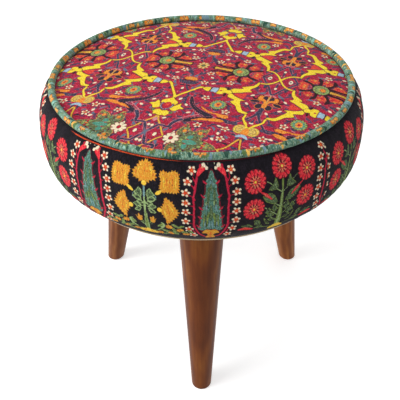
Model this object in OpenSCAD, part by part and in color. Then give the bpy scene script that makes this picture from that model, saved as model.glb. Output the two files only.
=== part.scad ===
// Round upholstered footstool on three splayed, tapered wooden legs.
// The floor is z = 0 and the seat's axis is the Z axis. The front leg points along -Y.

/* [Seat] */
// Widest diameter of the upholstered seat
seat_d = 380; // [340:5:440]
// Height of the seat from the underside of its board to the seam under the piping
seat_h = 99.5; // [90:0.5:120]
// Height of the widest ring above the underside of the board
bulge_h = 51.5; // [46:0.5:60]
// How far the seam under the piping lies inside the widest ring
shoulder_w = 19.8; // [16:0.1:26]
// How far the bottom edge lies inside the widest ring
tuck_w = 24; // [18:0.5:27]
// Rise of the seat's middle above the hollow beside the piping
crown_h = 4; // [2:0.5:7]
// Rise of the top panel out of its seam within the first finger's width
seam_rise = 3; // [1.5:0.5:5]

/* [Cloth] */
// Thickness of the woven cover
fabric_t = 1.2; // [0.8:0.1:1.8]
// Width of the strip of cover turned under the board
turn_under = 17.5; // [16:0.5:22]
// Radius of the cover's fold at the bottom edge
fold_r = 4; // [3:0.5:6]
// Outside diameter of the covered piping
piping_d = 8; // [7:0.5:10]
// Thickness of the cloth round the piping cord
piping_t = 1; // [0.6:0.1:1.4]
// How much thinner each layer of the seam allowance is pressed
seam_press = 0.2; // [0.1:0.05:0.3]
// Depth of the seam allowance below the piping
seam_depth = 9; // [6:1:12]
// Diameter of the pale cord along the bottom edge
trim_d = 2; // [1.5:0.1:3]

/* [Padding] */
// Thickness of the polyester wadding under the cover
wadding_t = 5; // [3:0.5:8]
// How far the foam's top face stops short of the seam
corner_cut = 13; // [11:1:16]
// Thickness of the wadding below the seam allowance
seam_pad = 3; // [2:0.5:4]
// How far outside the board's edge the wadding ends
wadding_end = 3; // [2:0.5:4]
// Least width of the foam strip round the board
edge_foam_w = 2.5; // [2:0.5:4]

/* [Board] */
// Thickness of the plywood board
board_t = 18; // [15:1:22]
// Radial space between the board's edge and the outside of the cover's fold
board_inset = 5; // [4:0.5:8]
// Diameter of the clearance hole above each leg plate
bolt_clear_d = 16; // [14:0.5:20]
// Thickness of the dust cover
dust_t = 0.6; // [0.4:0.1:1]
// How far the dust cover's edge lies inside the board's edge
dust_inset = 3; // [2:0.5:5]

/* [Staples] */
// Staples round the turned-under cover
band_staple_count = 36; // [24:3:48]
// Staples round the dust cover
cover_staple_count = 24; // [15:3:30]
// Width of a staple's crown
staple_w = 10; // [8:0.5:12]
// Depth of a staple's legs
staple_depth = 8; // [6:0.5:10]
// Thickness of the staple wire
staple_t = 0.5; // [0.4:0.1:0.7]

/* [Legs] */
// Length of a leg along its axis
leg_len = 250; // [200:5:300]
// Diameter of a leg at the floor
foot_d = 25; // [22:0.5:30]
// Diameter of a leg at its top
leg_top_d = 54; // [50:0.5:57]
// Splay of a leg from the vertical, in degrees
splay = 10.8; // [8:0.2:13]
// Height of the chamfer round a foot
foot_chamfer = 1.6; // [1:0.2:2.4]
// Chamfer round the top of a leg
top_chamfer = 1.5; // [1:0.1:2]

/* [Leg plates] */
// Side of the square leg plate
plate_w = 60; // [58:1:63]
// Thickness of the plate's steel
plate_t = 2; // [1.5:0.1:2.5]
// Radius of the plate's corners
plate_r = 8; // [6:0.5:10]
// Outside diameter of the angled boss pressed out of the plate
boss_d = 46; // [42:1:48]
// Space between the high edge of a leg and its plate
leg_gap = 5.2; // [4:0.2:8]
// Space between a plate's corners and the cloth turned under the board
plate_room = 5; // [4:0.5:12]
// Distance of each plate screw from the plate's two nearest edges
screw_edge = 5.5; // [4.5:0.25:6]
// Thread diameter of the plate screws
screw_d = 3.5; // [3:0.1:4]
// Length of the plate screws under the head
screw_len = 15; // [13:1:16]
// Length of the plate screws' points
screw_tip = 2; // [1.5:0.25:3]
// Diameter of the plate screw's head
screw_head_d = 7; // [6:0.5:8]

/* [Leg bolts] */
// Thread diameter of the double-ended bolt in each leg
bolt_d = 8; // [6:0.5:9]
// Depth of the bolt in the leg
bolt_in_leg = 28; // [20:1:35]
// Length of the bolt above the leg
bolt_above_leg = 20; // [14:1:21]
// Pitch of the bolt's wood thread
wood_pitch = 3; // [2.5:0.1:3.5]
// Pitch of the bolt's machine thread
machine_pitch = 1.25; // [1:0.05:1.5]
// Outside diameter of the threaded bush in the plate
bush_d = 13; // [12:0.5:14]
// Length of the threaded bush
bush_len = 9; // [8:0.5:10]

/* [Hidden] */
$fn = 96;

// Where each leg stands round the seat
leg_angle = [-90, 30, 150];

// Small working gaps
touch_gap = 0.1;
thread_gap = 0.05;
beyond = 60; // how far cutting shapes run past what they cut

// Levels, from the floor up
leg_top_z = leg_len * cos(splay);
plate_z = leg_top_z + leg_top_d / 2 * sin(splay) + leg_gap; // underside of the flange
dust_z = plate_z + plate_t; // underside of the dust cover's middle
board_z = dust_z + dust_t; // underside of the board
tuck_z = board_z - fabric_t; // underside of the turned-under cover
seam_z = board_z + seat_h; // top of the cover at the piping seam
wide_z = board_z + bulge_h; // the widest ring
board_top_z = board_z + board_t;

// Radii
seat_r = seat_d / 2;
piping_r = seat_r - shoulder_w; // to the middle of the piping
seam_sink = 0.3; // the seam's hollow under the piping
piping_z = seam_z + piping_d / 2 + seam_sink;
flange_t = 2 * (piping_t - seam_press); // the two layers of the seam allowance, pressed flat
fold_cx = seat_r - tuck_w; // middle of the fold at the bottom edge
fold_cz = tuck_z + fold_r;
tuck_r = fold_cx - turn_under; // inner edge of the turned-under cover
board_r = fold_cx + fold_r - board_inset - fabric_t;
dust_r = board_r - dust_inset;
foot_slope = (leg_top_d - foot_d) / 2 / leg_len;

// Where a leg's axis meets the underside of its plate, and the floor
plate_corner = plate_w / 2 - plate_r; // the middle of a plate's rounded corner
plate_reach = sqrt(pow(tuck_r - plate_room - plate_r, 2) - pow(plate_corner, 2)) - plate_corner;
foot_reach = plate_reach + plate_z * tan(splay);
screw_offset = plate_w / 2 - screw_edge;

// Quality of the curved outlines
curve_steps = 14;
fold_steps = 5;

// A cubic curve through four control points, its direction, and a point set in from it
function curve_point(c, t) =
    pow(1 - t, 3) * c[0] + 3 * pow(1 - t, 2) * t * c[1] + 3 * (1 - t) * t * t * c[2] + pow(t, 3) * c[3];
function curve_way(c, t) =
    pow(1 - t, 2) * (c[1] - c[0]) + 2 * (1 - t) * t * (c[2] - c[1]) + t * t * (c[3] - c[2]);
function inset_point(c, t, inset) =
    let (way = curve_way(c, t), size = norm(way))
    curve_point(c, t) + inset * [way[1], -way[0]] / size;
function inset_curve(c, inset, first = 0, last = 1) =
    [for (i = [0:curve_steps]) inset_point(c, first + (last - first) * i / curve_steps, inset)];

// Outside of the cover: from the seam out over the shoulder, and down to the fold.
// Both run downwards, so that a positive inset goes into the seat.
shoulder = [
    [piping_r + flange_t / 2 + touch_gap, seam_z],
    [piping_r + 0.58 * shoulder_w, seam_z - 0.7],
    [seat_r, wide_z + 0.63 * (seam_z - wide_z)],
    [seat_r, wide_z]
];
fold_start = [fold_cx + fold_r * cos(45), fold_cz - fold_r * sin(45)];
flank = [
    [seat_r, wide_z],
    [seat_r, wide_z - 0.6 * (wide_z - fold_start[1])],
    fold_start + 0.74 * (seat_r - fold_start[0]) * [1, 1],
    fold_start
];
fold_way = [for (i = [1:fold_steps]) -45 - 45 * i / fold_steps];
function fold_points(inset) =
    [for (a = fold_way) [fold_cx + (fold_r - inset) * cos(a), fold_cz + (fold_r - inset) * sin(a)]];

// The part of a falling line of points above a level or below it, with the point on the level itself
function crossing(points, z) = [
    for (i = [1:len(points) - 1]) let (a = points[i - 1], b = points[i])
    if (a[1] > z && b[1] <= z) a + (z - a[1]) / (b[1] - a[1]) * (b - a)
];
function above(points, z) = concat([for (p = points) if (p[1] > z) p], crossing(points, z));
function below(points, z) = concat(crossing(points, z), [for (p = points) if (p[1] < z) p]);
function turned(points) = [for (i = [len(points) - 1:-1:0]) points[i]];

// Height of the top panel's upper face at a distance from the axis
panel_edge = piping_r - flange_t / 2 - touch_gap;
rise_w = 12; // how far in from the seam the first rise takes
function panel_top(r) =
    seam_z + seam_rise * (1 - exp((r - panel_edge) / rise_w)) + crown_h * (1 - pow(r / panel_edge, 2));
panel_steps = 24;
function panel_line(last, drop) =
    [for (i = [0:panel_steps]) let (r = last * sin(90 * i / panel_steps)) [r, panel_top(r) - drop]];

// Where the padding's outlines turn: the foot of the seam allowance, and the foam's rounded corner
flange_foot = seam_z - seam_depth - touch_gap;
foam_inset = fabric_t + wadding_t + 2 * touch_gap;
foam_top_r = panel_edge - corner_cut;
foam_side_first = 0.62; // where the foam's side leaves the rounded corner, along the shoulder
foam_side = concat([[piping_r, flange_foot - seam_pad]], inset_curve(shoulder, foam_inset, foam_side_first));

module ring_of(outline) {
    rotate_extrude() polygon(outline);
}

// Puts its children on a leg's axis, with the floor's end of the axis at the origin
module on_leg_axis(angle) {
    rotate([0, 0, angle]) translate([foot_reach, 0, 0]) rotate([0, -splay, 0]) children();
}

module top_panel() {
    color("firebrick")
        ring_of(concat(panel_line(panel_edge, 0), turned(panel_line(panel_edge, fabric_t))));
}

module side_band() {
    outer = concat(inset_curve(shoulder, 0), inset_curve(flank, 0), fold_points(0), [[tuck_r, tuck_z]]);
    inner = concat(
        inset_curve(shoulder, fabric_t), inset_curve(flank, fabric_t), fold_points(fabric_t),
        [[tuck_r, tuck_z + fabric_t]]
    );
    color([0.09, 0.08, 0.1])
    difference() {
        ring_of(concat(outer, turned(inner)));
        staple_slots(band_staple_count, band_staple_r, tuck_z);
        staple_slots(cover_staple_count, cover_staple_r, tuck_z);
    }
}

module piping_cover() {
    color("cadetblue")
    rotate_extrude() {
        difference() {
            union() {
                translate([piping_r, piping_z]) circle(d = piping_d, $fn = 32);
                translate([piping_r - flange_t / 2, seam_z - seam_depth])
                    square([flange_t, seam_depth + piping_d / 4]);
            }
            translate([piping_r, piping_z]) circle(d = piping_d - 2 * piping_t, $fn = 32);
        }
    }
}

module piping_cord() {
    color("ivory")
    rotate_extrude() translate([piping_r, piping_z])
        circle(d = piping_d - 2 * piping_t - 2 * thread_gap, $fn = 32);
}

// The pale cord lies in the corner below the fold, pressed against the cover
module bottom_trim() {
    trim_way = fold_r + trim_d / 2 + thread_gap;
    color("tan")
    rotate_extrude() translate([fold_cx + trim_way * cos(50), fold_cz - trim_way * sin(50)])
        circle(d = trim_d, $fn = 24);
}

// The wadding lies between the cover and the foam and parts round the seam allowance
module wadding() {
    skin = fabric_t + touch_gap;
    flange_in = piping_r - flange_t / 2 - touch_gap;
    flange_out = piping_r + flange_t / 2 + touch_gap;
    outside = concat(
        panel_line(flange_in, skin),
        [[flange_in, flange_foot], [flange_out, flange_foot]],
        inset_curve(shoulder, skin, 0.04), inset_curve(flank, skin)
    );
    inside = concat(
        panel_line(foam_top_r, skin + wadding_t), foam_side,
        [for (p = inset_curve(flank, foam_inset - touch_gap)) if (p[0] > board_r + wadding_end) p]
    );
    color("whitesmoke") ring_of(concat(outside, turned(inside)));
}

module foam_pad() {
    sides = above(concat(foam_side, inset_curve(flank, foam_inset)), board_top_z);
    color("lightyellow")
        ring_of(concat(
            panel_line(foam_top_r, foam_inset),
            [for (p = sides) p - [touch_gap, 0]], [[0, board_top_z]]
        ));
}

// A strip of foam glued round the board's edge fills out the seat below the main pad
module edge_foam() {
    inner = board_r + touch_gap;
    under = below(inset_curve(flank, foam_inset), board_top_z - touch_gap);
    sides = [for (p = under) if (p[0] > inner + edge_foam_w) p];
    color("palegoldenrod")
        ring_of(concat(
            [[inner, board_top_z - touch_gap]], [for (p = sides) p - [touch_gap, 0]],
            [[inner, sides[len(sides) - 1][1]]]
        ));
}

// Where the four screws of a plate stand, about the plate's own middle
screw_spots = [for (x = [-1, 1], y = [-1, 1]) [x, y] * screw_offset];

module seat_board() {
    color("burlywood")
    difference() {
        translate([0, 0, board_z]) cylinder(r = board_r, h = board_t);
        for (angle = leg_angle) rotate([0, 0, angle]) {
            translate([plate_reach, 0, board_z - 1]) cylinder(d = bolt_clear_d, h = board_t + 2, $fn = 48);
            for (s = screw_spots) translate([plate_reach + s[0], s[1], board_z - 1])
                cylinder(d = screw_d + 2 * thread_gap, h = screw_len + 1, $fn = 24);
        }
        staple_slots(band_staple_count, band_staple_r, board_z);
        staple_slots(cover_staple_count, cover_staple_r, board_z);
    }
}

// The dust cover lies on the board in the middle and on the turned-under cover round its rim
dust_rim_z = tuck_z - staple_t - dust_t;
module dust_cover() {
    step_r = tuck_r - 2 * touch_gap;
    color([0.13, 0.13, 0.14])
    difference() {
        ring_of([
            [0, dust_z], [step_r - dust_t, dust_z], [step_r - dust_t, dust_rim_z], [dust_r, dust_rim_z],
            [dust_r, dust_rim_z + dust_t], [step_r, dust_rim_z + dust_t], [step_r, board_z], [0, board_z]
        ]);
        for (angle = leg_angle) rotate([0, 0, angle]) {
            translate([plate_reach, 0, dust_z - 1]) cylinder(d = boss_d - 2 * plate_t, h = dust_t + 2, $fn = 48);
            for (s = screw_spots) translate([plate_reach + s[0], s[1], dust_z - 1])
                cylinder(d = screw_d + 2 * thread_gap, h = dust_t + 2, $fn = 24);
        }
        staple_slots(cover_staple_count, cover_staple_r, dust_rim_z);
    }
}

band_staple_r = (tuck_r + dust_r) / 2 - 2;
cover_staple_r = dust_r - 3;

// One staple: a crown across the edge of the cloth and two legs up into the board
module staple(level, depth) {
    translate([-staple_t, -staple_w / 2, level - staple_t]) cube([2 * staple_t, staple_w, staple_t]);
    for (y = [-staple_w / 2, staple_w / 2 - staple_t])
        translate([-staple_t, y, level - staple_t / 2]) cube([2 * staple_t, staple_t, depth + staple_t / 2]);
}

module staple_ring(count, r, level, depth) {
    for (i = [0:count - 1]) rotate([0, 0, (i + 0.5) * 360 / count]) translate([r, 0, 0]) staple(level, depth);
}

// The slits that the legs of a ring of staples have cut
module staple_slots(count, r, level) {
    slit = thread_gap;
    for (i = [0:count - 1]) rotate([0, 0, (i + 0.5) * 360 / count]) translate([r, 0, 0])
        for (y = [-staple_w / 2, staple_w / 2 - staple_t])
            translate([-staple_t - slit, y - slit, level - 1])
                cube([2 * (staple_t + slit), staple_t + 2 * slit, staple_depth + 2]);
}

module band_staples() {
    color("silver") staple_ring(band_staple_count, band_staple_r, tuck_z, staple_depth);
}

module cover_staples() {
    color("silver") staple_ring(cover_staple_count, cover_staple_r, dust_rim_z, staple_depth);
}

// A square flange with a boss pressed out of it, whose end faces along the leg
module leg_plate(angle) {
    color("lightsteelblue")
    difference() {
        union() {
            rotate([0, 0, angle]) translate([plate_reach, 0, plate_z])
                linear_extrude(height = plate_t)
                    square_plate();
            intersection() {
                on_leg_axis(angle) translate([0, 0, leg_len]) cylinder(d = boss_d, h = beyond, $fn = 64);
                translate([0, 0, plate_z + plate_t - beyond]) cylinder(r = seat_r, h = beyond);
            }
        }
        on_leg_axis(angle) {
            translate([0, 0, leg_len + plate_t]) cylinder(d = boss_d - 2 * plate_t, h = beyond, $fn = 64);
            translate([0, 0, leg_len - 1]) cylinder(d = bush_d + 2 * thread_gap, h = beyond, $fn = 48);
        }
        rotate([0, 0, angle]) for (s = screw_spots) translate([plate_reach + s[0], s[1], plate_z - 1])
            cylinder(d = screw_d + 0.6, h = plate_t + 2, $fn = 24);
    }
}

module square_plate() {
    square([plate_w, 2 * plate_corner], center = true);
    square([2 * plate_corner, plate_w], center = true);
    for (x = [-1, 1], y = [-1, 1]) translate([x, y] * plate_corner) circle(r = plate_r, $fn = 48);
}

// The threaded bush is riveted through the boss and seats on its inside
module plate_bush(angle) {
    collar_t = 1.5;
    collar_w = 2;
    color("goldenrod")
    on_leg_axis(angle) translate([0, 0, leg_len])
        difference() {
            union() {
                translate([0, 0, touch_gap]) cylinder(d = bush_d, h = bush_len - touch_gap, $fn = 48);
                translate([0, 0, plate_t + thread_gap])
                    cylinder(d = bush_d + 2 * collar_w, h = collar_t, $fn = 48);
            }
            translate([0, 0, -1]) cylinder(d = bolt_d + 2 * thread_gap, h = bush_len + 2, $fn = 48);
        }
}

// Pan-head screws from below, through the plate and the dust cover into the board
module plate_screws(angle) {
    head_h = 2.2;
    shank_len = screw_len - screw_tip;
    color("gainsboro")
    rotate([0, 0, angle]) for (s = screw_spots) translate([plate_reach + s[0], s[1], plate_z])
        difference() {
            union() {
                rotate_extrude($fn = 32) polygon([
                    [0, -head_h], [screw_head_d / 4, -head_h], [screw_head_d * 0.42, -head_h * 0.7],
                    [screw_head_d / 2, -head_h * 0.25], [screw_head_d / 2, -thread_gap], [0, -thread_gap]
                ]);
                translate([0, 0, -head_h / 2]) cylinder(d = screw_d, h = shank_len + head_h / 2, $fn = 32);
                translate([0, 0, shank_len]) cylinder(d1 = screw_d, d2 = 0.8, h = screw_tip, $fn = 32);
            }
            for (turn = [0, 90]) rotate([0, 0, turn])
                translate([-screw_head_d * 0.28, -0.4, -head_h - 0.1]) cube([screw_head_d * 0.56, 0.8, 1.2]);
        }
}

// Half of a thread's outline: teeth of one pitch each, from one height to another
function teeth(r, depth, pitch, from, to) = [
    for (i = [0:floor((to - from) / pitch) - 1])
    for (p = [[r - depth, 0.1], [r, 0.45], [r, 0.55], [r - depth, 0.9]]) [p[0], from + (i + p[1]) * pitch]
];

// A double-ended bolt: a wood thread in the leg and a machine thread in the bush
module leg_bolt(angle) {
    r = bolt_d / 2;
    color("darkgray")
    on_leg_axis(angle) translate([0, 0, leg_len]) rotate_extrude($fn = 48)
        polygon(concat(
            [[0, -bolt_in_leg], [1.2, -bolt_in_leg]],
            teeth(r, 1, wood_pitch, -bolt_in_leg + 1.5, -2),
            [[r, -1.5], [r, 0]],
            teeth(r, 0.6, machine_pitch, 0.5, bolt_above_leg - 1),
            [[r - 1, bolt_above_leg], [0, bolt_above_leg]]
        ));
}

// A turned leg: tapered, bored for its bolt, and cut level at the floor with a small chamfer
module leg(angle) {
    below = 5; // the turned blank runs this far past the floor before it is cut level
    chamfer_lean = 0.75;
    floor_r = foot_d / 2 - foot_chamfer * chamfer_lean;
    color("saddlebrown")
    difference() {
        on_leg_axis(angle) rotate_extrude() polygon([
            [0, -below], [foot_d / 2 - below * foot_slope, -below],
            [leg_top_d / 2 - top_chamfer * foot_slope, leg_len - top_chamfer],
            [leg_top_d / 2 - top_chamfer, leg_len], [0, leg_len]
        ]);
        rotate([0, 0, angle]) translate([foot_reach, 0, 0])
            rotate_extrude() polygon([
                [0, -2 * below], [0, 0], [floor_r, 0],
                [floor_r + 2 * below * chamfer_lean, 2 * below],
                [foot_d + below, 2 * below], [foot_d + below, -2 * below]
            ]);
        on_leg_axis(angle) translate([0, 0, leg_len - bolt_in_leg - 1])
            cylinder(d = bolt_d + 2 * thread_gap, h = bolt_in_leg + 2, $fn = 48);
    }
}

top_panel();
side_band();
piping_cover();
piping_cord();
bottom_trim();
wadding();
foam_pad();
edge_foam();
seat_board();
dust_cover();
band_staples();
cover_staples();
leg_plate(leg_angle[0]);  // leg_plate_front
leg_plate(leg_angle[1]);  // leg_plate_right
leg_plate(leg_angle[2]);  // leg_plate_left
plate_bush(leg_angle[0]);  // plate_bush_front
plate_bush(leg_angle[1]);  // plate_bush_right
plate_bush(leg_angle[2]);  // plate_bush_left
plate_screws(leg_angle[0]);  // plate_screws_front
plate_screws(leg_angle[1]);  // plate_screws_right
plate_screws(leg_angle[2]);  // plate_screws_left
leg_bolt(leg_angle[0]);  // leg_bolt_front
leg_bolt(leg_angle[1]);  // leg_bolt_right
leg_bolt(leg_angle[2]);  // leg_bolt_left
leg(leg_angle[0]);  // leg_front
leg(leg_angle[1]);  // leg_right
leg(leg_angle[2]);  // leg_left
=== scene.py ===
import bpy
import bmesh
import math
import numpy as np
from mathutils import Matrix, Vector
from mathutils.geometry import delaunay_2d_cdt


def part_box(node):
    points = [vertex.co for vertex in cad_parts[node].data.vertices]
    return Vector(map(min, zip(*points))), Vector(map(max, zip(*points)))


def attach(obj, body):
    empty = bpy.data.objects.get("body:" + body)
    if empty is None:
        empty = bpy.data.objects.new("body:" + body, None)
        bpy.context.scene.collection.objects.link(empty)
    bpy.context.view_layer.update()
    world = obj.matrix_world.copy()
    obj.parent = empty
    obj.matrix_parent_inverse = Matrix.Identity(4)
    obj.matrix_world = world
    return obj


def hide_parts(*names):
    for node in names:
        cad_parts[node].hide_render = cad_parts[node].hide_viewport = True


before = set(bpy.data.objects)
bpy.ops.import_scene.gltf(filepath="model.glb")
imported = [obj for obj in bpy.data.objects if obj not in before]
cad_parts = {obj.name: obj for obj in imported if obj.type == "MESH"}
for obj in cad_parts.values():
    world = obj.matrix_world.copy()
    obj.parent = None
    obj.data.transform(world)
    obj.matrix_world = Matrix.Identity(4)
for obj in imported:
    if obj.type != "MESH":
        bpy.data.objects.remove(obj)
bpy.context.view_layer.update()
mm = 0.001


# Colours are written as a paint chart gives them, from 0 to 255
def dye(red, green, blue, strength=1.0):
    def light(value):
        value = value * strength / 255
        return value / 12.92 if value <= 0.04045 else ((value + 0.055) / 1.055) ** 2.4
    return (light(red), light(green), light(blue), 1.0)


# A socket of a node tree: sums on it add Math nodes, and node() adds any other node
class Wire:
    def __init__(self, tree, socket):
        self.tree = tree
        self.socket = socket

    @classmethod
    def node(cls, tree, kind, settings=None, inputs=None, output=0):
        made = tree.nodes.new(kind)
        for name, value in (settings or {}).items():
            if name == "stops":
                ramp = made.color_ramp
                while len(ramp.elements) < len(value):
                    ramp.elements.new(0.5)
                for stop, (place, colour) in zip(ramp.elements, value):
                    stop.position = place
                    stop.color = colour
            else:
                setattr(made, name, value)
        for name, value in (inputs or {}).items():
            found = [s for s in made.inputs if name in (s.identifier, s.name)]
            if isinstance(value, Wire):
                tree.links.new(value.socket, found[0])
            else:
                found[0].default_value = value
        outputs = [s for i, s in enumerate(made.outputs) if output in (i, s.identifier)]
        return cls(tree, outputs[0] if outputs else None)

    def maths(self, operation, *values):
        inputs = dict(zip(("Value", "Value_001"), values))
        return Wire.node(self.tree, "ShaderNodeMath", {"operation": operation}, inputs)

    def sine(self):
        return self.maths("SINE", self)

    def cosine(self):
        return self.maths("COSINE", self)

    def floor(self):
        return self.maths("FLOOR", self)

    def __add__(self, other):
        return self.maths("ADD", self, other)

    def __radd__(self, other):
        return self.maths("ADD", other, self)

    def __sub__(self, other):
        return self.maths("SUBTRACT", self, other)

    def __rsub__(self, other):
        return self.maths("SUBTRACT", other, self)

    def __mul__(self, other):
        return self.maths("MULTIPLY", self, other)

    def __rmul__(self, other):
        return self.maths("MULTIPLY", other, self)

    def __truediv__(self, other):
        return self.maths("DIVIDE", self, other)

    # 0 below the first value, 1 above the second, and smooth between them
    def rise(self, low, high):
        return Wire.node(self.tree, "ShaderNodeMapRange", {"interpolation_type": "SMOOTHSTEP"},
                         {"Value": self, "From Min": low, "From Max": high})

    # Two colours, the second where the socket is 1
    def over(self, below, above):
        return Wire.node(self.tree, "ShaderNodeMix", {"data_type": "RGBA"},
                         {"Factor_Float": self, "A_Color": below, "B_Color": above}, "Result_Color")


# A new material: itself, its tree, its shader and the object's own coordinates in millimetres
def newMaterial(name, **constants):
    material = bpy.data.materials.new(name)
    material.use_nodes = True
    tree = material.node_tree
    tree.nodes.clear()
    shader = tree.nodes.new("ShaderNodeBsdfPrincipled")
    for socket, value in constants.items():
        shader.inputs[socket.replace("_", " ")].default_value = value
    output = tree.nodes.new("ShaderNodeOutputMaterial")
    tree.links.new(shader.outputs[0], output.inputs["Surface"])
    place = Wire.node(tree, "ShaderNodeTexCoord", output=3)
    place = Wire.node(tree, "ShaderNodeMapping", None, {"Vector": place, "Scale": (1 / mm,) * 3})
    return material, tree, shader, place


def finishMaterial(tree, shader, colour, roughness=None, height=None, depth=0.1, strength=1.0):
    tree.links.new(colour.socket, shader.inputs["Base Color"])
    if roughness:
        tree.links.new(roughness.socket, shader.inputs["Roughness"])
    if height:
        bump = Wire.node(tree, "ShaderNodeBump", None,
                         {"Height": height, "Distance": depth * mm, "Strength": strength})
        tree.links.new(bump.socket, shader.inputs["Normal"])


# Clouds of a size in millimetres
def cloudy(tree, place, size, detail=2.0, roughness=0.5, stretch=(1, 1, 1)):
    place = Wire.node(tree, "ShaderNodeMapping", None, {"Vector": place, "Scale": stretch})
    return Wire.node(tree, "ShaderNodeTexNoise", None,
                     {"Vector": place, "Scale": 1 / size, "Detail": detail, "Roughness": roughness})


# Curves through listed points, in millimetres of cloth
def curveThrough(points, closed=False, steps=4):
    p = np.array(points, float)
    if closed:
        before, after, last = np.roll(p, 1, 0), np.roll(p, -1, 0), np.roll(p, -2, 0)
        starts = range(len(p))
    else:
        before = np.vstack([p[:1], p[:-1]])
        after = np.vstack([p[1:], p[-1:]])
        last = np.vstack([p[2:], p[-1:], p[-1:]])
        starts = range(len(p) - 1)
    t = np.arange(steps)[:, None] / steps
    parts = []
    for i in starts:
        a, b, c, d = before[i], p[i], after[i], last[i]
        bend = (2 * a - 5 * b + 4 * c - d) * t ** 2 + (3 * b - a - 3 * c + d) * t ** 3
        parts.append(0.5 * (2 * b + (c - a) * t + bend))
    return np.vstack(parts + ([] if closed else [p[-1:]]))


# Points turned about the origin, then moved to x, y
def turned(px, py, x, y, turn):
    c, s = math.cos(math.radians(turn)), math.sin(math.radians(turn))
    return np.stack([x + c * px - s * py, y + s * px + c * py], -1)


def oval(x, y, rx, ry=None, turn=0, count=14):
    t = np.arange(count) * 2 * math.pi / count
    return turned(rx * np.cos(t), (ry or rx) * np.sin(t), x, y, turn)


def rosette(x, y, rx, ry, petals, notch):
    t = np.arange(petals * 6) * 2 * math.pi / (petals * 6)
    r = 1 - notch * (1 - np.abs(np.cos(petals * t / 2)) ** 0.6)
    return turned(rx * r * np.cos(t), ry * r * np.sin(t), x, y, 0)


def onOval(x, y, rx, ry, degrees):
    return x + rx * math.cos(math.radians(degrees)), y + ry * math.sin(math.radians(degrees))


# A whole outline from one side of it, which begins on the axis
def bothSides(half, flip=(-1, 1)):
    other = [(x * flip[0], y * flip[1]) for x, y in half[::-1]]
    return half + [point for point in other if point not in half]


# A saw-toothed edge, as on the petals' rims
def toothed(points, pitch=3.4, depth=2.8):
    line = curveThrough(points, True, 6)
    way = np.roll(line, -1, 0) - line
    run = np.concatenate([[0], np.cumsum(np.hypot(way[:, 0], way[:, 1]))])
    count = 2 * int(run[-1] / pitch)
    at = np.arange(count) * run[-1] / count
    ring = np.vstack([line, line[:1]])
    even = np.stack([np.interp(at, run, ring[:, 0]), np.interp(at, run, ring[:, 1])], -1)
    out = even - even.mean(0)
    out /= np.maximum(np.hypot(out[:, 0], out[:, 1]), 1e-6)[:, None]
    return even + out * np.where(np.arange(count) % 2, depth / 2, -depth / 2)[:, None]


# Lays coloured yarns over points of a cloth. For each yarn it holds how far each point lies outside
# the yarn's own shapes, so that the material can draw their edges finer than the mesh.
class Weaver:
    def __init__(self, x, y, yarns, far=4.0):
        self.x, self.y = x, y
        self.far = far
        self.places = [(0, 1)]
        self.edge = {yarn: np.full(x.shape, far) for yarn in yarns}

    # Puts a yarn over the others at the points whose distance is below zero
    def lay(self, yarn, near, distance):
        for name, edge in self.edge.items():
            if name == yarn:
                edge[near] = np.minimum(edge[near], distance)
            else:
                edge[near] = np.maximum(edge[near], -distance - 0.1)

    # Distances to a line, how far along it the nearest place is, and which points it goes round
    def reach(self, near, points, closed):
        x, y = self.x[near], self.y[near]
        ends = np.roll(points, -1, 0) if closed else points[1:]
        best = np.full(len(near), 99.0)
        along = np.zeros(len(near))
        inside = np.zeros(len(near), bool)
        for i, (a, b) in enumerate(zip(points, ends)):
            way = b - a
            t = np.clip(((x - a[0]) * way[0] + (y - a[1]) * way[1]) / max(way @ way, 1e-9), 0, 1)
            d = np.hypot(x - a[0] - t * way[0], y - a[1] - t * way[1])
            closer = d < best
            best[closer] = d[closer]
            along[closer] = i + t[closer]
            if closed and a[1] != b[1]:
                spans = (a[1] > y) != (b[1] > y)
                inside ^= spans & (x < a[0] + (y - a[1]) * way[0] / way[1])
        return best, along, inside

    # Each entry of places is a shift and a side, so that a motif can be laid more than once
    def shape(self, yarn, points, closed, widths, rim, where):
        for offset, side in self.places:
            line = points * [side, 1] + [offset, 0]
            low, high = line.min(0) - self.far, line.max(0) + self.far
            near = (self.x > low[0]) & (self.x < high[0]) & (self.y > low[1]) & (self.y < high[1])
            near = np.nonzero(near if where is None else near & where)[0]
            if len(near) == 0:
                continue
            best, along, inside = self.reach(near, line, closed)
            if closed:
                distance = np.where(inside, -best, best)
            else:
                knots = np.linspace(0, len(points) - 1, len(widths))
                distance = best - np.interp(along, knots, widths) / 2
            if rim:
                self.lay(rim[0], near, distance - rim[1])
            self.lay(yarn, near, distance)

    # A filled shape; a rim is a yarn and how wide it shows
    def patch(self, yarn, points, rim=None, smooth=True):
        points = curveThrough(points, True, 3) if smooth else np.array(points, float)
        self.shape(yarn, points, True, None, rim, None)

    # A line, with one width or several along it
    def strand(self, yarn, points, widths, rim=None, where=None):
        widths = np.array(widths if isinstance(widths, list) else [widths] * 2, float)
        self.shape(yarn, curveThrough(points), False, widths, rim, where)


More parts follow.
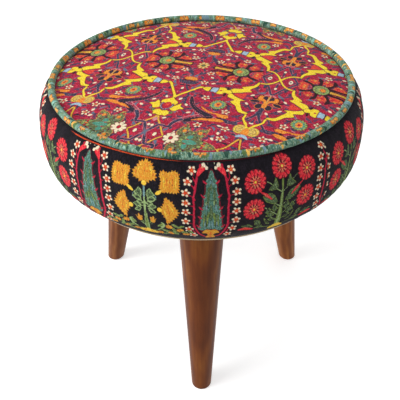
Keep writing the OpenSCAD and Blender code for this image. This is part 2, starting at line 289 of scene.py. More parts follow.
# The top's cloth: yarn colours and the pattern of a quarter of its repeat, 90 mm by 147 mm
topCloth = {
    "ground": (164, 20, 46), "bright": (202, 34, 62), "heather": (118, 36, 72), "pale": (226, 88, 114),
    "dark": (70, 18, 38), "flecks": 0.6, "streak": 0.5, "patch": 5, "patchStretch": (1, 1, 1), "fray": 0.7,
    "shadow": 0.3, "leafSeed": 11, "leafStep": 8.5,
    "repeat": (90, 147), "middle": (-3.6, 16.7), "stretch": (1.024, 1.051), "skew": (0.0435, -0.014),
    "bow": (0.0115, -0.0131, -0.0331), "turn": 20, "rib": 0.9,
    "pulls": (((-85, -125), (4.5, 0), 38), ((90, -70), (2.2, 0), 50), ((10, -60), (0.3, 1.8), 90),
              ((0, 110), (-0.9, -0.6), 70)),
    "yarns": {
        "gold": ((252, 222, 44), (254, 236, 96), (232, 186, 44)),
        "cream": ((246, 226, 188), (250, 238, 212)),
        "honey": ((236, 186, 62), (246, 206, 96), (212, 146, 48)),
        "blush": ((216, 150, 152), (196, 112, 128)),
        "sky": ((158, 192, 212), (206, 220, 226), (128, 162, 190)), "mist": ((104, 122, 142), (84, 96, 118)),
        "slate": ((56, 56, 78), (42, 40, 58), (94, 96, 120)),
        "mauve": ((88, 62, 92), (72, 72, 98), (120, 50, 84)),
        "plum": ((40, 34, 46), (58, 52, 68)), "ink": ((40, 20, 26), (62, 26, 36)),
        "coral": ((228, 62, 52), (240, 104, 72), (192, 36, 48)),
        "flame": ((240, 144, 46), (250, 178, 82), (222, 102, 40)),
        "sage": ((140, 170, 92), (178, 200, 128), (96, 128, 74)),
        "olive": ((92, 110, 68), (134, 148, 104), (104, 60, 54)),
        "teal": ((66, 142, 122), (110, 176, 152)),
        "ochre": ((226, 190, 90), (238, 210, 122), (196, 154, 70)),
        "cherry": ((186, 30, 50), (210, 44, 62)),
    },
}


def blossom(w, x, y, turn):
    for a in range(90, 450, 72):
        w.patch("cream", oval(*onOval(x, y, 2.9, 2.9, a + turn), 1.8, 1.3, a + turn, 10), ("ink", 0.5))
        w.strand("honey", [(x, y), onOval(x, y, 2.6, 2.6, a + turn)], 0.8)
    w.patch("coral", oval(x, y, 1.3, count=8))


def bud(w, x, y, leafX, leafY):
    far = math.hypot(leafX - x, leafY - y)
    ax, ay = (leafX - x) / far, (leafY - y) / far
    w.strand("slate", [(x, y), (leafX, leafY), (leafX + 2 * ax, leafY + 2 * ay)], [1.6, 2.6, 0.8])
    w.strand("cream", [(x - 2 * ax, y - 2 * ay), (x + 1.4 * ax, y + 1.4 * ay)], [1.6, 3.2, 2])


def slateVines(w, mirrored):
    slate = ("blush", 0.5)
    w.strand("slate", [(64, 101), (68, 103.5), (73, 103), (77, 98), (81, 93), (84, 88), (87, 83), (89, 76),
            (90, 66)], [2.8, 2.2, 2.2, 2.6, 4.4], slate)
    w.strand("slate", [(90, 36), (88, 33), (85, 26), (82, 19), (77, 11), (73, 4), (70.5, 0)], 2.2, slate)
    w.strand("slate", [(14, 8), (12, 10), (9, 14), (5, 20), (1, 27)], 2.2, where=mirrored)
    w.strand("slate", [(1, 50), (5, 57), (8, 60), (10, 65), (12, 70), (13, 78), (15, 84), (16, 88)], 2.2,
            where=~mirrored)
    w.strand("blush", [(16, 72), (22, 84), (25, 88), (31, 93), (37, 98), (38, 100), (33, 104), (28, 108),
            (24, 112)], 1)
    w.patch("cherry", oval(42, 99, 4, 2.2))
    w.patch("plum", toothed([(16, 71), (18, 71), (22, 77.6), (26, 84.4), (32, 89.6), (40, 93.6),
            (48, 96.4), (53, 99.5), (50, 103), (42, 101), (33, 96.8), (25, 90.6), (19, 81.5)], 3.4, 1.9),
            ("blush", 0.5))
    w.patch("plum", toothed([(22, 118), (25, 114), (31, 109), (37, 105), (43, 102.5), (50, 100), (53, 102),
            (46, 106), (39, 112), (31, 117.5)], 3, 1.2), ("blush", 0.4))
    w.strand("blush", [(19, 76), (24, 84), (31, 91.5), (40, 97.5)], 0.6)
    w.strand("blush", [(26, 114), (34, 108.5), (43, 103)], 0.6)
    w.patch("flame", toothed([(34, 85.5), (38, 88), (42, 90), (48, 92), (52, 92), (58, 92.5), (64, 92),
            (66, 94), (65, 97.5), (60, 98), (55, 97), (54, 94.5), (48, 94.5), (43, 93.5), (39, 91),
            (35, 88)], 3.4, 1.6), ("ink", 0.4))
    w.patch("flame", toothed([(34, 113), (40, 110.5), (45, 109.5), (50, 108), (56, 107), (62, 105.5),
            (65, 103.5), (64, 101.5), (58, 101), (54, 101.5), (50, 104), (46, 104.5), (42, 106),
            (38, 109)], 3.4, 1.6), ("ink", 0.4))
    w.patch("ink", oval(58, 99.5, 2.8, 0.9))
    w.strand("slate", [(62, 100), (67, 100.2), (72, 101)], [2.6, 2.6, 1.2])


def crossing(w):
    w.strand("slate", [(0, 149), (0, 147), (3, 141), (6, 135), (8, 131.5), (12, 131), (17, 131.5),
            (19, 130), (19.5, 125), (22, 119), (25, 115)], [3, 3, 2.8, 3.2, 4.4], ("blush", 0.7))
    w.strand("mist", [(0, 147), (2, 143), (3.6, 140)], [3.4, 1.6, 0.4])
    w.strand("mist", [(7, 133.4), (10, 131.4), (15, 131.4)], [0.4, 1, 0.4])


def goldVines(w):
    rim = ("ink", 0.5)
    w.strand("gold", [(27, 50), (21, 49), (17, 50), (13, 56), (8.5, 63), (4, 70), (1, 75), (0, 80)],
            [3.5, 3.2, 2.6, 2.8, 3], rim)
    w.strand("gold", [(70.5, 16), (76, 15.5), (80, 14), (85, 9), (90, 0)], 2.2, rim)
    w.strand("gold", [(79, 80), (80, 86), (80, 90), (83, 95), (87, 101), (90, 105)], 2.2, rim)
    w.strand("honey", [(0, 114), (2, 120), (5, 125), (9, 130), (13, 136), (17, 142), (21, 147)],
            [2.4, 2, 1.8], rim)
    w.patch("blush", [(0, 119), (2.6, 123), (0, 127), (-2.6, 123)])
    w.strand("honey", [(89, 124), (87, 131), (85, 137), (82, 142), (77, 147), (75, 152)], 1.9, rim)


def goldLeaves(w):
    rim = ("ink", 0.7)
    w.patch("coral", [(55, 49), (60, 53.5), (65, 55), (67, 50), (66, 44), (60, 46)])
    w.patch("gold", [(50, 51), (54, 47.5), (60, 44), (65, 41), (70.5, 38), (68, 36), (67, 33), (70, 28),
            (72, 22), (72, 16), (70, 15), (69, 20), (67, 25), (62, 29), (57.5, 33), (60, 35), (56, 37),
            (52, 38), (50, 40), (48, 44)], rim)
    w.patch("gold", [(49.5, 47), (56, 53), (62, 56), (67, 57.5), (70, 59), (66, 60), (66.5, 64), (69, 69),
            (71.5, 74), (74.5, 77.5), (80, 79), (79.5, 81.5), (75, 82), (71, 81), (67, 76), (64, 71),
            (60, 68.5), (56.5, 65.5), (59, 62), (58, 60.5), (54, 59), (50.5, 57), (49.5, 52)], rim)
    w.patch("gold", [(36.5, 55), (43, 55), (45, 51), (50, 52), (52, 48), (48.5, 44), (45.5, 45),
            (43, 41.5), (36.5, 42.5)], rim)
    w.patch("gold", [(28, 54.5), (23, 53), (20, 50), (23, 47), (28, 46)], rim)
    w.patch("sky", [(30, 54), (33, 53.5), (36, 55), (36.6, 50), (36, 44), (33, 44.5), (30, 45.5)], rim)
    w.patch("ink", [(46, 58.5), (48, 55), (46.5, 51.5), (45, 55)])
    w.patch("ink", [(44.5, 38), (47, 41.5), (46, 45), (44, 41.5)])
    w.patch("cherry", oval(40, 48.5, 1.3))


def wheel(w):
    thin = ("ink", 0.3)
    for x, y, lobe in (
            (44, 18, [(36, 19), (37, 15), (40, 12.5), (43.5, 13.5), (46, 17), (44.5, 21), (41, 22.5)]),
            (28, 14, [(20, 9.5), (25, 8.5), (30, 8), (33, 10.5), (31, 14.5), (27, 17), (22.5, 14)]),
            (57, 15, [(52, 14), (54.5, 11), (58.5, 10), (61, 12.5), (60, 16.5), (56.5, 19.5), (53, 19)]),
            (65, 0, bothSides([(60, 0), (61, 5.5), (64, 8.5), (67.5, 6.5), (68.5, 0)], (1, -1)))):
        w.patch("coral", toothed(lobe, 3.6, 2.4), ("flame", 0.45))
        w.patch("flame", toothed(oval(x - 1.4, y + 1.6, 1.8, 1.6), 2.4, 1.2))
        w.patch("ochre", oval(x - 1.6, y + 2.6, 1.4, 0.8))
        w.patch("cherry", oval(x + 1.4, y - 1.4, 1.6, 1.2))
    w.patch("cherry", oval(40.5, 16.5, 1.8, 1.4))
    w.patch("coral", oval(30, 5.6, 4.5, 1.3), thin)
    w.patch("flame", oval(21, 11.5, 2.4, 1.2, 40))
    w.patch("flame", oval(37, 13.5, 1.2, 2.2))
    for curl in ([(40, 7), (37, 11), (34, 16), (33.4, 21), (35, 25.4)],
                 [(49, 8), (48, 13), (48.6, 18.6), (51.6, 24)], [(53, 4), (57, 8), (62, 10.6), (67, 11.6)]):
        w.strand("ink", curl, [4.8, 3.6, 3.2, 5, 2.2])
    w.strand("ink", [(38, 5.4), (31, 6.8), (23, 6.6), (15, 8.4), (12, 10.5)], [4, 3.4, 2.6, 1.4])
    w.patch("honey", bothSides([(14, 0), (15, 3), (18, 2.2), (26, 2.2), (37, 2.5)], (1, -1)), ("ink", 1.6))
    w.strand("flame", [(16, 0), (34, 0)], [0.6, 1.6, 1.2])
    w.patch("sage", oval(45, 0, 8.8, 9.6), ("ink", 1))
    for a in range(15, 375, 30):
        w.strand("olive", [onOval(45, 0, 6.2, 6.8, a), onOval(45, 0, 8.2, 9, a)], 0.8)
    w.patch("sage", oval(45.5, 0, 4.8, 5.6), ("olive", 0.9))
    w.patch("flame", oval(43, 0, 2.6, 3.4), ("coral", 0.6))
    w.strand("ochre", [(46, -3), (47.4, 0), (46, 3)], 0.8)
    w.patch("cream", bothSides([(76, 0), (77.5, 4), (79.6, 4), (80.6, 0)], (1, -1)), thin)
    w.patch("slate", oval(78.6, 0, 1.1, 1.6))
    w.patch("slate", oval(71.2, 0, 1.3, 3.2))


def fourLeaf(w):
    rim = ("ink", 0.6)
    w.patch("gold", [(3.5, 99), (10, 104), (13, 103), (15, 99), (19.5, 97), (17, 95), (14, 93), (13, 88),
            (10, 91), (7.5, 95)], rim)
    w.patch("gold", bothSides([(0, 79), (2.5, 82), (8, 86), (9, 89), (7, 93), (2, 92)]), rim)
    for yarn, width in (("slate", 2.4), ("sky", 1)):
        w.strand(yarn, [(5.5, 92), (6, 96), (4, 101), (0, 104)], width)
    w.patch("cherry", oval(0, 95, 4.2, 6))
    w.patch("coral", oval(0, 94, 2.2, 3.4))
    w.patch("gold", [(0, 106.5), (4, 104.5), (9, 107), (9.5, 110), (7.5, 112), (7, 115), (3.5, 114),
            (0, 116)], ("ink", 0.6), smooth=False)
    w.patch("olive", oval(10, 107.5, 2.2, 2.8))


def fivePetals(w):
    rim = ("flame", 0.6)
    w.strand("blush", [(84, 39), (87, 37), (90, 36.5)], 1.5)
    w.patch("flame", toothed([(84, 51), (80, 49), (79.5, 44), (82, 40), (85.5, 43), (86.5, 49)], 3, 1.6),
            ("ink", 1))
    w.patch("plum", oval(86.6, 45, 2.6, 5.4), rim)
    w.strand("ink", [(78, 50), (74, 47), (73, 43)], [3, 2, 0.6])
    w.strand("blush", [(80, 57), (75, 57), (72, 54)], 0.6)
    w.patch("plum", oval(78.5, 54, 5, 2.7, -20), rim)
    w.patch("plum", oval(85, 62, 3.6, 5, 12), rim)
    w.patch("flame", [(90, 64.5), (87.4, 61), (88, 57), (86, 50), (83, 46), (87, 47.5), (90, 54)])
    w.strand("ochre", [(90, 38), (90, 46), (90, 54)], 1.2)


def rosettes(w):
    for i in range(8):
        x, y = onOval(0, 0, 4.4, 5.8, 45 * i + 22.5)
        turn = math.degrees(math.atan2(y, x))
        w.patch("ochre", oval(x, y, 2.8, 1.8, turn, 10), ("ink", 0.4))
        w.patch("cream", oval(x * 1.1, y * 1.1, 1.4, 0.8, turn, 8))
    w.patch("olive", oval(0, 0, 2, 2.6), ("ink", 0.6))
    w.strand("slate", [(33, 77), (38, 77)], [2, 3.5, 1.5])
    w.strand("slate", [(57, 75), (61.5, 75)], [1.5, 3.5, 2])
    w.patch("sage", toothed(oval(48, 76.5, 8, 8.6), 3.1, 2), ("ink", 0.6))
    w.patch("teal", rosette(48, 76.5, 6.4, 7, 8, 0.3))
    w.patch("flame", toothed(oval(48, 76.5, 3.2, 4.4), 2.4, 1), ("ochre", 0.6))
    w.patch("cherry", oval(48, 76.5, 1.4, 2.2))


def thistle(w):
    w.patch("ink", [(0, 38), (5, 37.5), (9.5, 39), (11, 43), (8.5, 46.5), (4, 48), (0, 48.5)], smooth=False)
    for x, y in ((9.2, 42.4), (6.2, 43.2), (3.1, 43.8), (0, 44)):
        w.patch("slate", oval(x, y, 1.5, 4.4, x * 2.5), ("blush", 0.35))
    w.patch("flame", toothed(bothSides([(0, 37.5), (4, 38), (7.5, 35.5), (6, 32), (3, 30.5), (0, 30)]),
            2.6, 1.2), ("ink", 0.4))
    w.strand("ochre", [(0, 31), (0, 37)], 1)
    w.strand("ink", [(3.4, 31.5), (4, 36.5)], 0.6)


def spirals(w):
    w.patch("ochre", oval(83.2, 108, 6, 7), ("olive", 0.5))
    w.strand("gold", [(88, 113), (83, 114), (78.6, 108), (83, 102.4)], 1.2)
    w.strand("olive", [(87, 112), (82, 112.4), (80, 108), (83, 103.8), (87, 107), (84.5, 110.6),
            (82.4, 108), (84.4, 106.4)], 0.8)
    w.patch("flame", [(90, 117), (86.5, 114.5), (87, 108), (90, 104.5), (93, 108), (93.5, 114.5)],
            ("ochre", 0.5))
    w.strand("gold", [(88, 106), (87, 99), (84, 95)], 1.2)
    w.patch("sky", [(83.6, 122), (85.6, 117), (90, 115.2), (94.4, 117), (96.4, 122), (90, 119.6)],
            ("ink", 0.4))


def palmette(w):
    rim = ("ochre", 0.4)
    w.patch("olive", toothed([(31, 136), (33, 125), (35, 119), (38, 123), (41, 128), (44, 130), (48, 129),
            (51, 125), (56, 123), (58, 120), (59, 128), (58, 136), (56, 140), (62, 141), (70, 143),
            (75, 147), (70, 151), (56, 155), (40, 153), (38, 147), (34, 141)], 2.8, 1.6), rim)
    for x, y in ((33, 134), (34, 126), (36, 121), (40, 129), (46, 132), (51, 128), (55, 124.6),
            (57.6, 123), (57.6, 130), (56, 137), (62, 143), (68, 144.6), (72, 147)):
        dx, dy = (x - 49) * 0.2, (y - 142) * 0.2
        w.strand("ochre", [(x - dx, y - dy), (x, y)], [0.4, 0.8])
        w.strand("teal", [(x - dx * 2 + 1, y - dy * 2 + 1), (x - dx + 1.4, y - dy + 1)], [0.5, 1.6, 0.5])
    for x, y in ((36, 128), (38, 134), (47, 133), (54, 127), (56, 134), (60, 144), (66, 146), (43, 141),
            (40, 146)):
        w.patch("sage", oval(x, y, 1.5, 2.1, x * 11 % 60 - 30, 8))
        w.patch("ink", oval(x + 2.2, y + 1.6, 0.8, 1.3, y * 7 % 90, 6))
    for x, y in ((34.5, 124), (51, 131), (57, 130), (63, 143.5), (46, 143)):
        w.patch("cherry", oval(x, y, 1.2, 1.5, 0, 6))
    w.patch("teal", [(41, 147), (45, 144.4), (51, 143.6), (57, 147), (51, 150.4), (45, 149.6)])
    w.patch("teal", [(43.6, 141), (45.6, 136.6), (49, 137.6), (49, 142), (46, 143)])
    w.strand("sage", [(44, 147), (54, 147)], [0.5, 1, 0.4])
    for x, y in ((40, 125), (41, 133), (48, 134.6), (53, 138), (60, 140.6), (37, 140), (57, 148),
            (66, 150)):
        w.patch("plum", oval(x, y, 1.5, 1, x * 13 % 90, 6))
    for x, y, rx, ry in ((37, 131.5, 2, 2.6), (53, 130.5, 2, 2.6), (63, 148, 2.6, 2)):
        w.patch("flame", oval(x, y, rx, ry), ("ink", 0.3))


def stars(w):
    w.patch("cream", [(28, 135), (26, 141), (21, 147), (26, 153), (28, 159), (31, 153), (38, 147),
            (31, 141)], ("ink", 0.5), smooth=False)
    w.patch("cream", rosette(29.5, 147, 8.2, 8.2, 8, 0.4), ("ink", 0.5))
    for i in range(8):
        a = 45 * i + 22.5
        w.strand("ochre", [onOval(29.5, 147, 3, 3.4, a), onOval(29.5, 147, 5.6, 6, a)], 0.5)
    w.patch("cherry", oval(29.5, 147, 1.4, 2.2), ("ink", 0.8))
    w.patch("cream", oval(11.5, 147, 2, 3.2), ("ink", 0.5))
    w.patch("cream", oval(2, 134, 1.8, 2.2), ("ink", 0.5))


# Short leaves scattered over the ground, under everything else
def groundLeaves(w):
    dice = np.random.default_rng(topCloth["leafSeed"])
    step = topCloth["leafStep"]
    for x in np.arange(2, topCloth["repeat"][0], step):
        for y in np.arange(2, topCloth["repeat"][1], step):
            cx, cy = x + dice.uniform(-0.4, 0.4) * step, y + dice.uniform(-0.4, 0.4) * step
            turn = dice.uniform(0, math.pi)
            long = dice.uniform(2.6, 5.2)
            dx, dy = long * math.cos(turn), long * math.sin(turn)
            shade = dice.choice(5, p=(0.3, 0.25, 0.2, 0.17, 0.08))
            line = [(cx - dx, cy - dy), (cx + 0.35 * dy, cy - 0.35 * dx), (cx + dx, cy + dy)]
            widths = [0.6, dice.uniform(2.4, 4.4), 0.6]
            rim = ("blush", 0.3) if dice.integers(0, 3) == 0 else None
            w.strand(("mauve", "slate", "slate", "mist", "plum")[shade], line, widths, rim)
            if dice.random() < 0.5:
                w.strand("blush", [(cx + dy, cy - dx), (cx + dy + dx * 0.8, cy - dx + dy * 0.8)], 0.7)


def smallFlowers(w):
    for x, y in ((17, 38.5), (43, 29), (15.5, 16), (31, 68), (60, 86.5), (44, 118), (73, 131), (71, 114)):
        blossom(w, x, y, (x * 7 + y * 3) % 72)
    for x, y, leafX, leafY in ((27, 37, 35, 33), (21, 25, 24, 27), (73, 44, 77, 40), (73, 63, 76, 66),
            (83, 73, 80, 77), (8, 79, 10.5, 75), (18, 88, 15, 85), (26, 101, 23, 103), (0, 58, 0, 63),
            (8, 118, 13, 114), (68, 124, 67, 121), (66, 134, 62, 131), (64, 112, 58, 112)):
        bud(w, x, y, leafX, leafY)
    w.patch("cream", [(88.4, 21), (90, 23.5), (91.6, 21), (90, 18)], ("ink", 0.4))
    w.patch("cherry", oval(90, 26, 1.8))
    w.strand("slate", [(90, 17), (90, 9)], [3, 1])
    w.patch("cream", oval(90, 95, 2.4, 1.8), ("ink", 0.4))
    w.strand("slate", [(90, 93), (90, 87)], [3, 1])


# Where the points of the seat lie on the flat cloth, which was turned and pulled as it was fitted
def topClothPlace(x, y):
    for (atX, atY), (alongX, alongY), reach in topCloth["pulls"]:
        fade = np.exp(-((x - atX) ** 2 + (y - atY) ** 2) / reach ** 2)
        x, y = x - alongX * fade, y - alongY * fade
    turn = math.radians(topCloth["turn"])
    u = x * math.cos(turn) - y * math.sin(turn) - topCloth["middle"][0]
    v = x * math.sin(turn) + y * math.cos(turn) - topCloth["middle"][1]
    (across, along), (skewU, skewV), bow = topCloth["stretch"], topCloth["skew"], topCloth["bow"]
    p, q = u / across, v / along
    for step in range(5):
        p, q = ((u - skewU * q - (bow[0] * p * p + bow[1] * q * q) / 100) / across,
                (v - skewV * p - bow[2] * p * p / 100) / along)
    return p, q


def weaveTop(x, y):
    p, q = topClothPlace(x, y)
    halfWide, halfLong = topCloth["repeat"]
    p = (p + halfWide) % (2 * halfWide) - halfWide
    q = (q + halfLong) % (2 * halfLong) - halfLong
    w = Weaver(np.abs(p), np.abs(q), topCloth["yarns"])
    groundLeaves(w)
    slateVines(w, p * q > 0)
    for part in (goldVines, crossing, wheel, goldLeaves, fourLeaf, fivePetals, thistle, spirals, palmette,
                 stars, rosettes, smallFlowers):
        part(w)
    return w


# The side band's cloth: a repeat of a red plant, a cypress and an orange plant, then back again
bandCloth = {
    "ground": (20, 16, 22), "bright": (15, 12, 17), "heather": (30, 24, 32), "pale": (40, 34, 44),
    "dark": (14, 11, 15), "flecks": 0.5, "streak": 0.3, "patch": 9, "patchStretch": (1, 0.5, 1), "fray": 0.9,
    "shadow": 0.3, "rib": 0.9, "leafSize": 0.95,
    "repeat": 272.5, "cypress": 71.3, "pull": 0.965, "squeeze": 0.0006, "squeezeFrom": 28,
    "tops": ([-180, -150, -90, 139, 140, 240], [1.4, 1.4, 3.9, 3.9, 0.4, 0.4]),
    "join": 139.5, "firstPlant": 48.8, "frontPlant": 859.5, "backPull": 270.7, "frontPull": 276.7,
    "edging": (("flare", 5.2, 0.7, (-165, -150, -60, -12), (0, 1, 1, 0)),
               ("maroon", 4.6, 0.9, (-40, -10, 60, 120), (0, 1, 0.8, 0))),
    "yarns": {
        "amber": ((212, 146, 44), (228, 178, 70), (218, 120, 42)), "gold": ((236, 190, 56), (246, 214, 96)),
        "rust": ((224, 120, 44), (200, 84, 34)), "scarlet": ((224, 44, 58), (242, 86, 86), (190, 32, 54)),
        "salmon": ((230, 128, 96), (240, 176, 130)), "pine": ((68, 114, 98), (120, 156, 148), (60, 92, 62)),
        "leaf": ((76, 98, 66), (122, 142, 98), (54, 72, 50)), "mist": ((104, 140, 146), (136, 166, 168)),
        "bone": ((238, 226, 196), (214, 190, 160)), "crimson": ((178, 26, 56), (206, 50, 72)),
        "flare": ((218, 68, 34), (236, 110, 60)), "moss": ((112, 134, 64), (146, 160, 84), (80, 100, 54)),
        "maroon": ((98, 22, 36), (128, 36, 50)), "jade": ((156, 180, 120), (128, 154, 98)),
        "night": ((20, 16, 22), (30, 24, 32)),
    },
}


# A leaf with a pale edge and, down its middle, a gap that shows the ground
def veined(w, points, vein, rim):
    middle = np.mean(points, 0)
    slim = [tuple(middle + (np.array(p) - middle) * bandCloth["leafSize"]) for p in points]
    w.patch("leaf", slim, rim, smooth=False)
    w.strand("night", [tuple(middle * 0.4 + np.array(slim[0]) * 0.6), tuple(middle),
                       tuple(middle * 0.3 + np.array(slim[len(slim) // 2]) * 0.7)], [0.4, vein, 0.3])


def orangePlant(w):
    pale = ("jade", 1.0)
    w.strand("moss", [(1, 82), (4, 78), (6, 72)], 1.1)
    w.strand("jade", [(0, 33), (0, 42), (0, 57), (0, 66), (0, 75), (0, 88)], [2, 1.6, 1.8, 3, 4.2, 5])
    w.strand("moss", [(0, 60), (0, 72), (0, 88)], [0.8, 2, 3.4])
    w.strand("mist", [(0, 33), (0, 45)], 1.8)
    w.strand("jade", [(0, 56), (6, 57.5), (9, 57)], 0.9)
    w.strand("mist", [(5, 46), (9.3, 42), (11.5, 44), (12, 48)], 0.8)
    for leaf in ([(3, 43), (3.5, 38.5), (5.5, 36.5), (7.5, 40), (10, 42.5), (7, 45), (4, 46)],
                 [(3.5, 48), (7, 44.8), (11.5, 46.5), (8.5, 49.5), (4, 49.8)],
                 [(4, 57), (8, 54), (11.5, 56), (8, 58.5)], [(4, 60), (7.5, 60.5), (10.5, 63.5), (6.5, 64)],
                 [(1, 53), (4.5, 51), (7.5, 52.5), (4.5, 54)]):
        veined(w, leaf, 1.2, pale)
    w.patch("amber", toothed(bothSides([(0, 6.5), (3, 9), (6, 9.5), (8, 13), (9.5, 16), (11.5, 18.5),
            (12.2, 23), (10.8, 26), (7, 27), (3.5, 30), (0, 31)])))
    w.patch("amber", toothed([(15.2, 18), (18.5, 16), (23, 17), (27, 15.5), (31, 15.5), (33.8, 18),
            (34.6, 25), (34.8, 31), (33.4, 37), (28, 38), (22, 37.6), (16.6, 38), (15.6, 34), (16.4, 27),
            (15.4, 22)], 2.8, 2.4))
    w.patch("amber", toothed([(20.5, 43.5), (25, 46), (28.5, 49.5), (31, 55), (33.5, 60), (32, 65),
            (28, 70.5), (21.5, 77), (20.5, 71), (17.5, 65), (15, 60), (17.5, 54), (19.5, 49)]))
    for line in ([(3.5, 12), (6.5, 17), (7.5, 22)], [(18.5, 19), (20, 27), (19, 35)],
                 [(31.5, 20), (31, 27), (31, 34)], [(22.5, 50), (27.5, 57), (28.5, 63)],
                 [(19, 56), (20, 62), (22, 70)]):
        w.strand("gold", line, [0.4, 1.5, 0.4])
    for line in ([(0, 11), (0, 18), (0, 24)], [(25, 19), (25.5, 27), (25, 35)],
                 [(22, 52), (24, 60), (25, 67)], [(8.8, 19), (9, 23)], [(28.5, 18), (28.3, 26), (28.5, 33)],
                 [(22.4, 20), (22.6, 30)]):
        w.strand("rust", line, [0.4, 1.1, 0.5])
    w.patch("gold", oval(0, 30.5, 2.5, 2.8), ("rust", 0.3))
    w.strand("gold", [(16.5, 36.8), (14.5, 38.8), (12.2, 40.8)], [2.4, 4, 2.2])
    w.patch("gold", oval(14.8, 59, 2.4, 2.8))
    for tip in ([(4, 73), (4.5, 70), (6, 71.5)], [(5.5, 75), (7.5, 68), (8.6, 72)],
                [(7, 76), (11, 70.6), (9.4, 74.5)]):
        w.patch("amber", tip)
    w.patch("amber", oval(6.8, 75, 2.6, 2.8, 20))
    w.strand("jade", [(6, 79), (3.5, 82), (1, 85)], 0.9)
    w.strand("jade", [(15.5, 76), (18.2, 79), (15.5, 84), (11, 88)], [1, 2.4, 2, 1])
    w.strand("moss", [(4, 91), (14, 88.5), (24, 88), (34, 90)], 1.1)
    for x, y, turn in ((23, 81.5, 20), (34, 85.5, -10), (24, 92, 5), (40, 92, 0), (13, 93.5, 10)):
        w.patch("amber", toothed(oval(x, y, 3.9, 2.9, turn), 2.6, 1.6))
        w.strand("rust", [(x - 1, y - 1.5), (x, y + 1.5)], 1)
    for x, y, turn in ((18.5, 88, 30), (29, 91.5, 30), (29, 79, 30), (14.5, 80, -40), (28, 86, 70),
            (38.5, 88.5, 20), (35, 80, -30), (19, 94, -20), (44.5, 87, 40)):
        w.patch("moss", oval(x, y, 3.6, 1.3, turn, 8), ("jade", 0.5))
    w.patch("gold", toothed(bothSides([(0, 87.5), (3, 90), (9, 92), (10, 96), (4, 98)]), 3, 1.2))
    w.strand("rust", [(3, 92), (6, 96)], 1.4)


# Each blossom beside the cypress, and the height of its stalk's foot
redBlossomPlaces = ((19, 13.5, 24), (22.7, 24.7, 33), (24.5, 36.5, 44), (24.5, 47.8, 55), (24.6, 59, 66),
                    (24.8, 71, 78), (21.8, 82.3, 88), (17.5, 93, 96))


def cypressTree(w):
    half = [(0, 11.5), (2.4, 14.5), (3.6, 20), (6.4, 24.4), (6.2, 27), (6.8, 36.6), (9.2, 39.4), (8.4, 42),
            (9, 51), (11.2, 53.4), (10.4, 56), (10.8, 62.6), (12.6, 65), (11.8, 68), (12.2, 75),
            (13.8, 77.4), (13.4, 81), (9.5, 86)]
    w.patch("maroon", bothSides(half + [(0, 84)]), smooth=False)
    half = [(0, 13), (2, 16), (3, 20.4), (6.4, 25.4), (5.2, 28), (5.8, 37), (8.6, 40.6), (7.2, 43),
            (7.8, 51.6), (10.4, 54.6), (9.2, 57), (9.6, 63.4), (11.8, 66.2), (10.6, 69), (11, 75.8),
            (13, 78.6), (12.4, 82), (8, 84.5)]
    w.patch("pine", toothed(bothSides(half + [(0, 82)]), 3, 0.8), smooth=False)
    for x, low, high, yarn in ((-2.4, 30, 50, "leaf"), (0.8, 22, 32, "mist"), (4.6, 48, 58, "mist"),
            (3, 44, 54, "leaf"), (5.2, 66, 80, "mist"), (-5, 58, 80, "leaf"), (3.6, 30, 50, "leaf"),
            (-1.6, 70, 81, "mist"), (-0.4, 24, 34, "leaf"), (0.8, 50, 70, "leaf"), (2.4, 58, 68, "moss"),
            (-6.4, 70, 80, "mist")):
        w.strand(yarn, [(x * 0.8, low), (x, (low + high) / 2), (x, high)], [0.4, 1.7, 0.5])
    for side in (3.2, 6.2):
        w.strand("jade", [(side * 0.7, 44), (side * 0.9, 52)], [0.4, 1, 0.4])
        w.strand("moss", [(side, 58), (side * 1.1, 68), (side * 1.15, 78)], [0.4, 1.6, 0.6])
    for x, y in ((6.2, 24.6), (8, 39.4), (9.8, 53.6), (10.8, 65.2), (12.2, 77.6)):
        w.strand("crimson", [(x - 1.4, y + 1.6), (x + 0.4, y + 0.4), (x + 2.2, y - 2.2)], [1.8, 1.8, 0.5])
        w.strand("crimson", [(x - 0.8, y + 6), (x + 0.6, y + 3.4)], [0.6, 0.4])
    w.patch("amber", toothed(bothSides([(0, 83.5), (4, 82.5), (7.5, 85.5), (9, 89), (4.5, 90), (3, 93),
            (5, 98), (4, 103)]), 2.6, 0.9), ("maroon", 0.5))
    w.strand("rust", [(0, 86), (0, 92), (0, 100)], [1, 2, 2.4])
    w.strand("gold", [(3.5, 86), (6, 88)], 1.3)
    w.strand("gold", [(-2, 95), (2, 95)], 1.2)
    for x, y, stalkY in redBlossomPlaces:
        w.strand("crimson", [(15.8, stalkY), (17.6, stalkY - 3.5), (x - 2.6, y + 2.6)], [1.5, 1, 0.7])
    w.strand("crimson", [(10.5, 8.5), (11.5, 14), (13.5, 19), (14.8, 27), (15.8, 35), (17, 42), (16.5, 52),
            (16.7, 62), (16.8, 72), (16.7, 78), (14.3, 84), (11.8, 89.5), (9, 94), (5.5, 97)],
            [2.4, 2, 1.7, 2, 1.9, 2.2])
    w.patch("scarlet", [(5.5, 12), (8.5, 9.5), (12, 11.5), (14.2, 16.5), (13.4, 20), (10, 16.5)])
    w.patch("bone", [(5.4, 10.4), (6.6, 6.4), (9.4, 7), (8.8, 10.4)])
    w.patch("bone", oval(4.4, 11.4, 1.4, 1.8))
    w.patch("salmon", oval(8.8, 10.6, 1.2, 1.2))
    w.patch("bone", oval(3.3, 7, 0.7))


def redBlossoms(w):
    for number, (x, y, stalkY) in enumerate(redBlossomPlaces):
        for i in range(5):
            a = 90 + number * 31 % 40 + 72 * i
            w.patch("bone", oval(*onOval(x, y, 3.2, 3.2, a), 1.5, 1.25, a, 8))
            w.strand("flare", [(x, y), onOval(x, y, 3.6, 3.6, a + 36)], [2.2, 0.5])
        w.patch("flare", oval(x, y, 1.5, count=8))
        w.patch("gold", oval(x, y, 0.6, count=6))


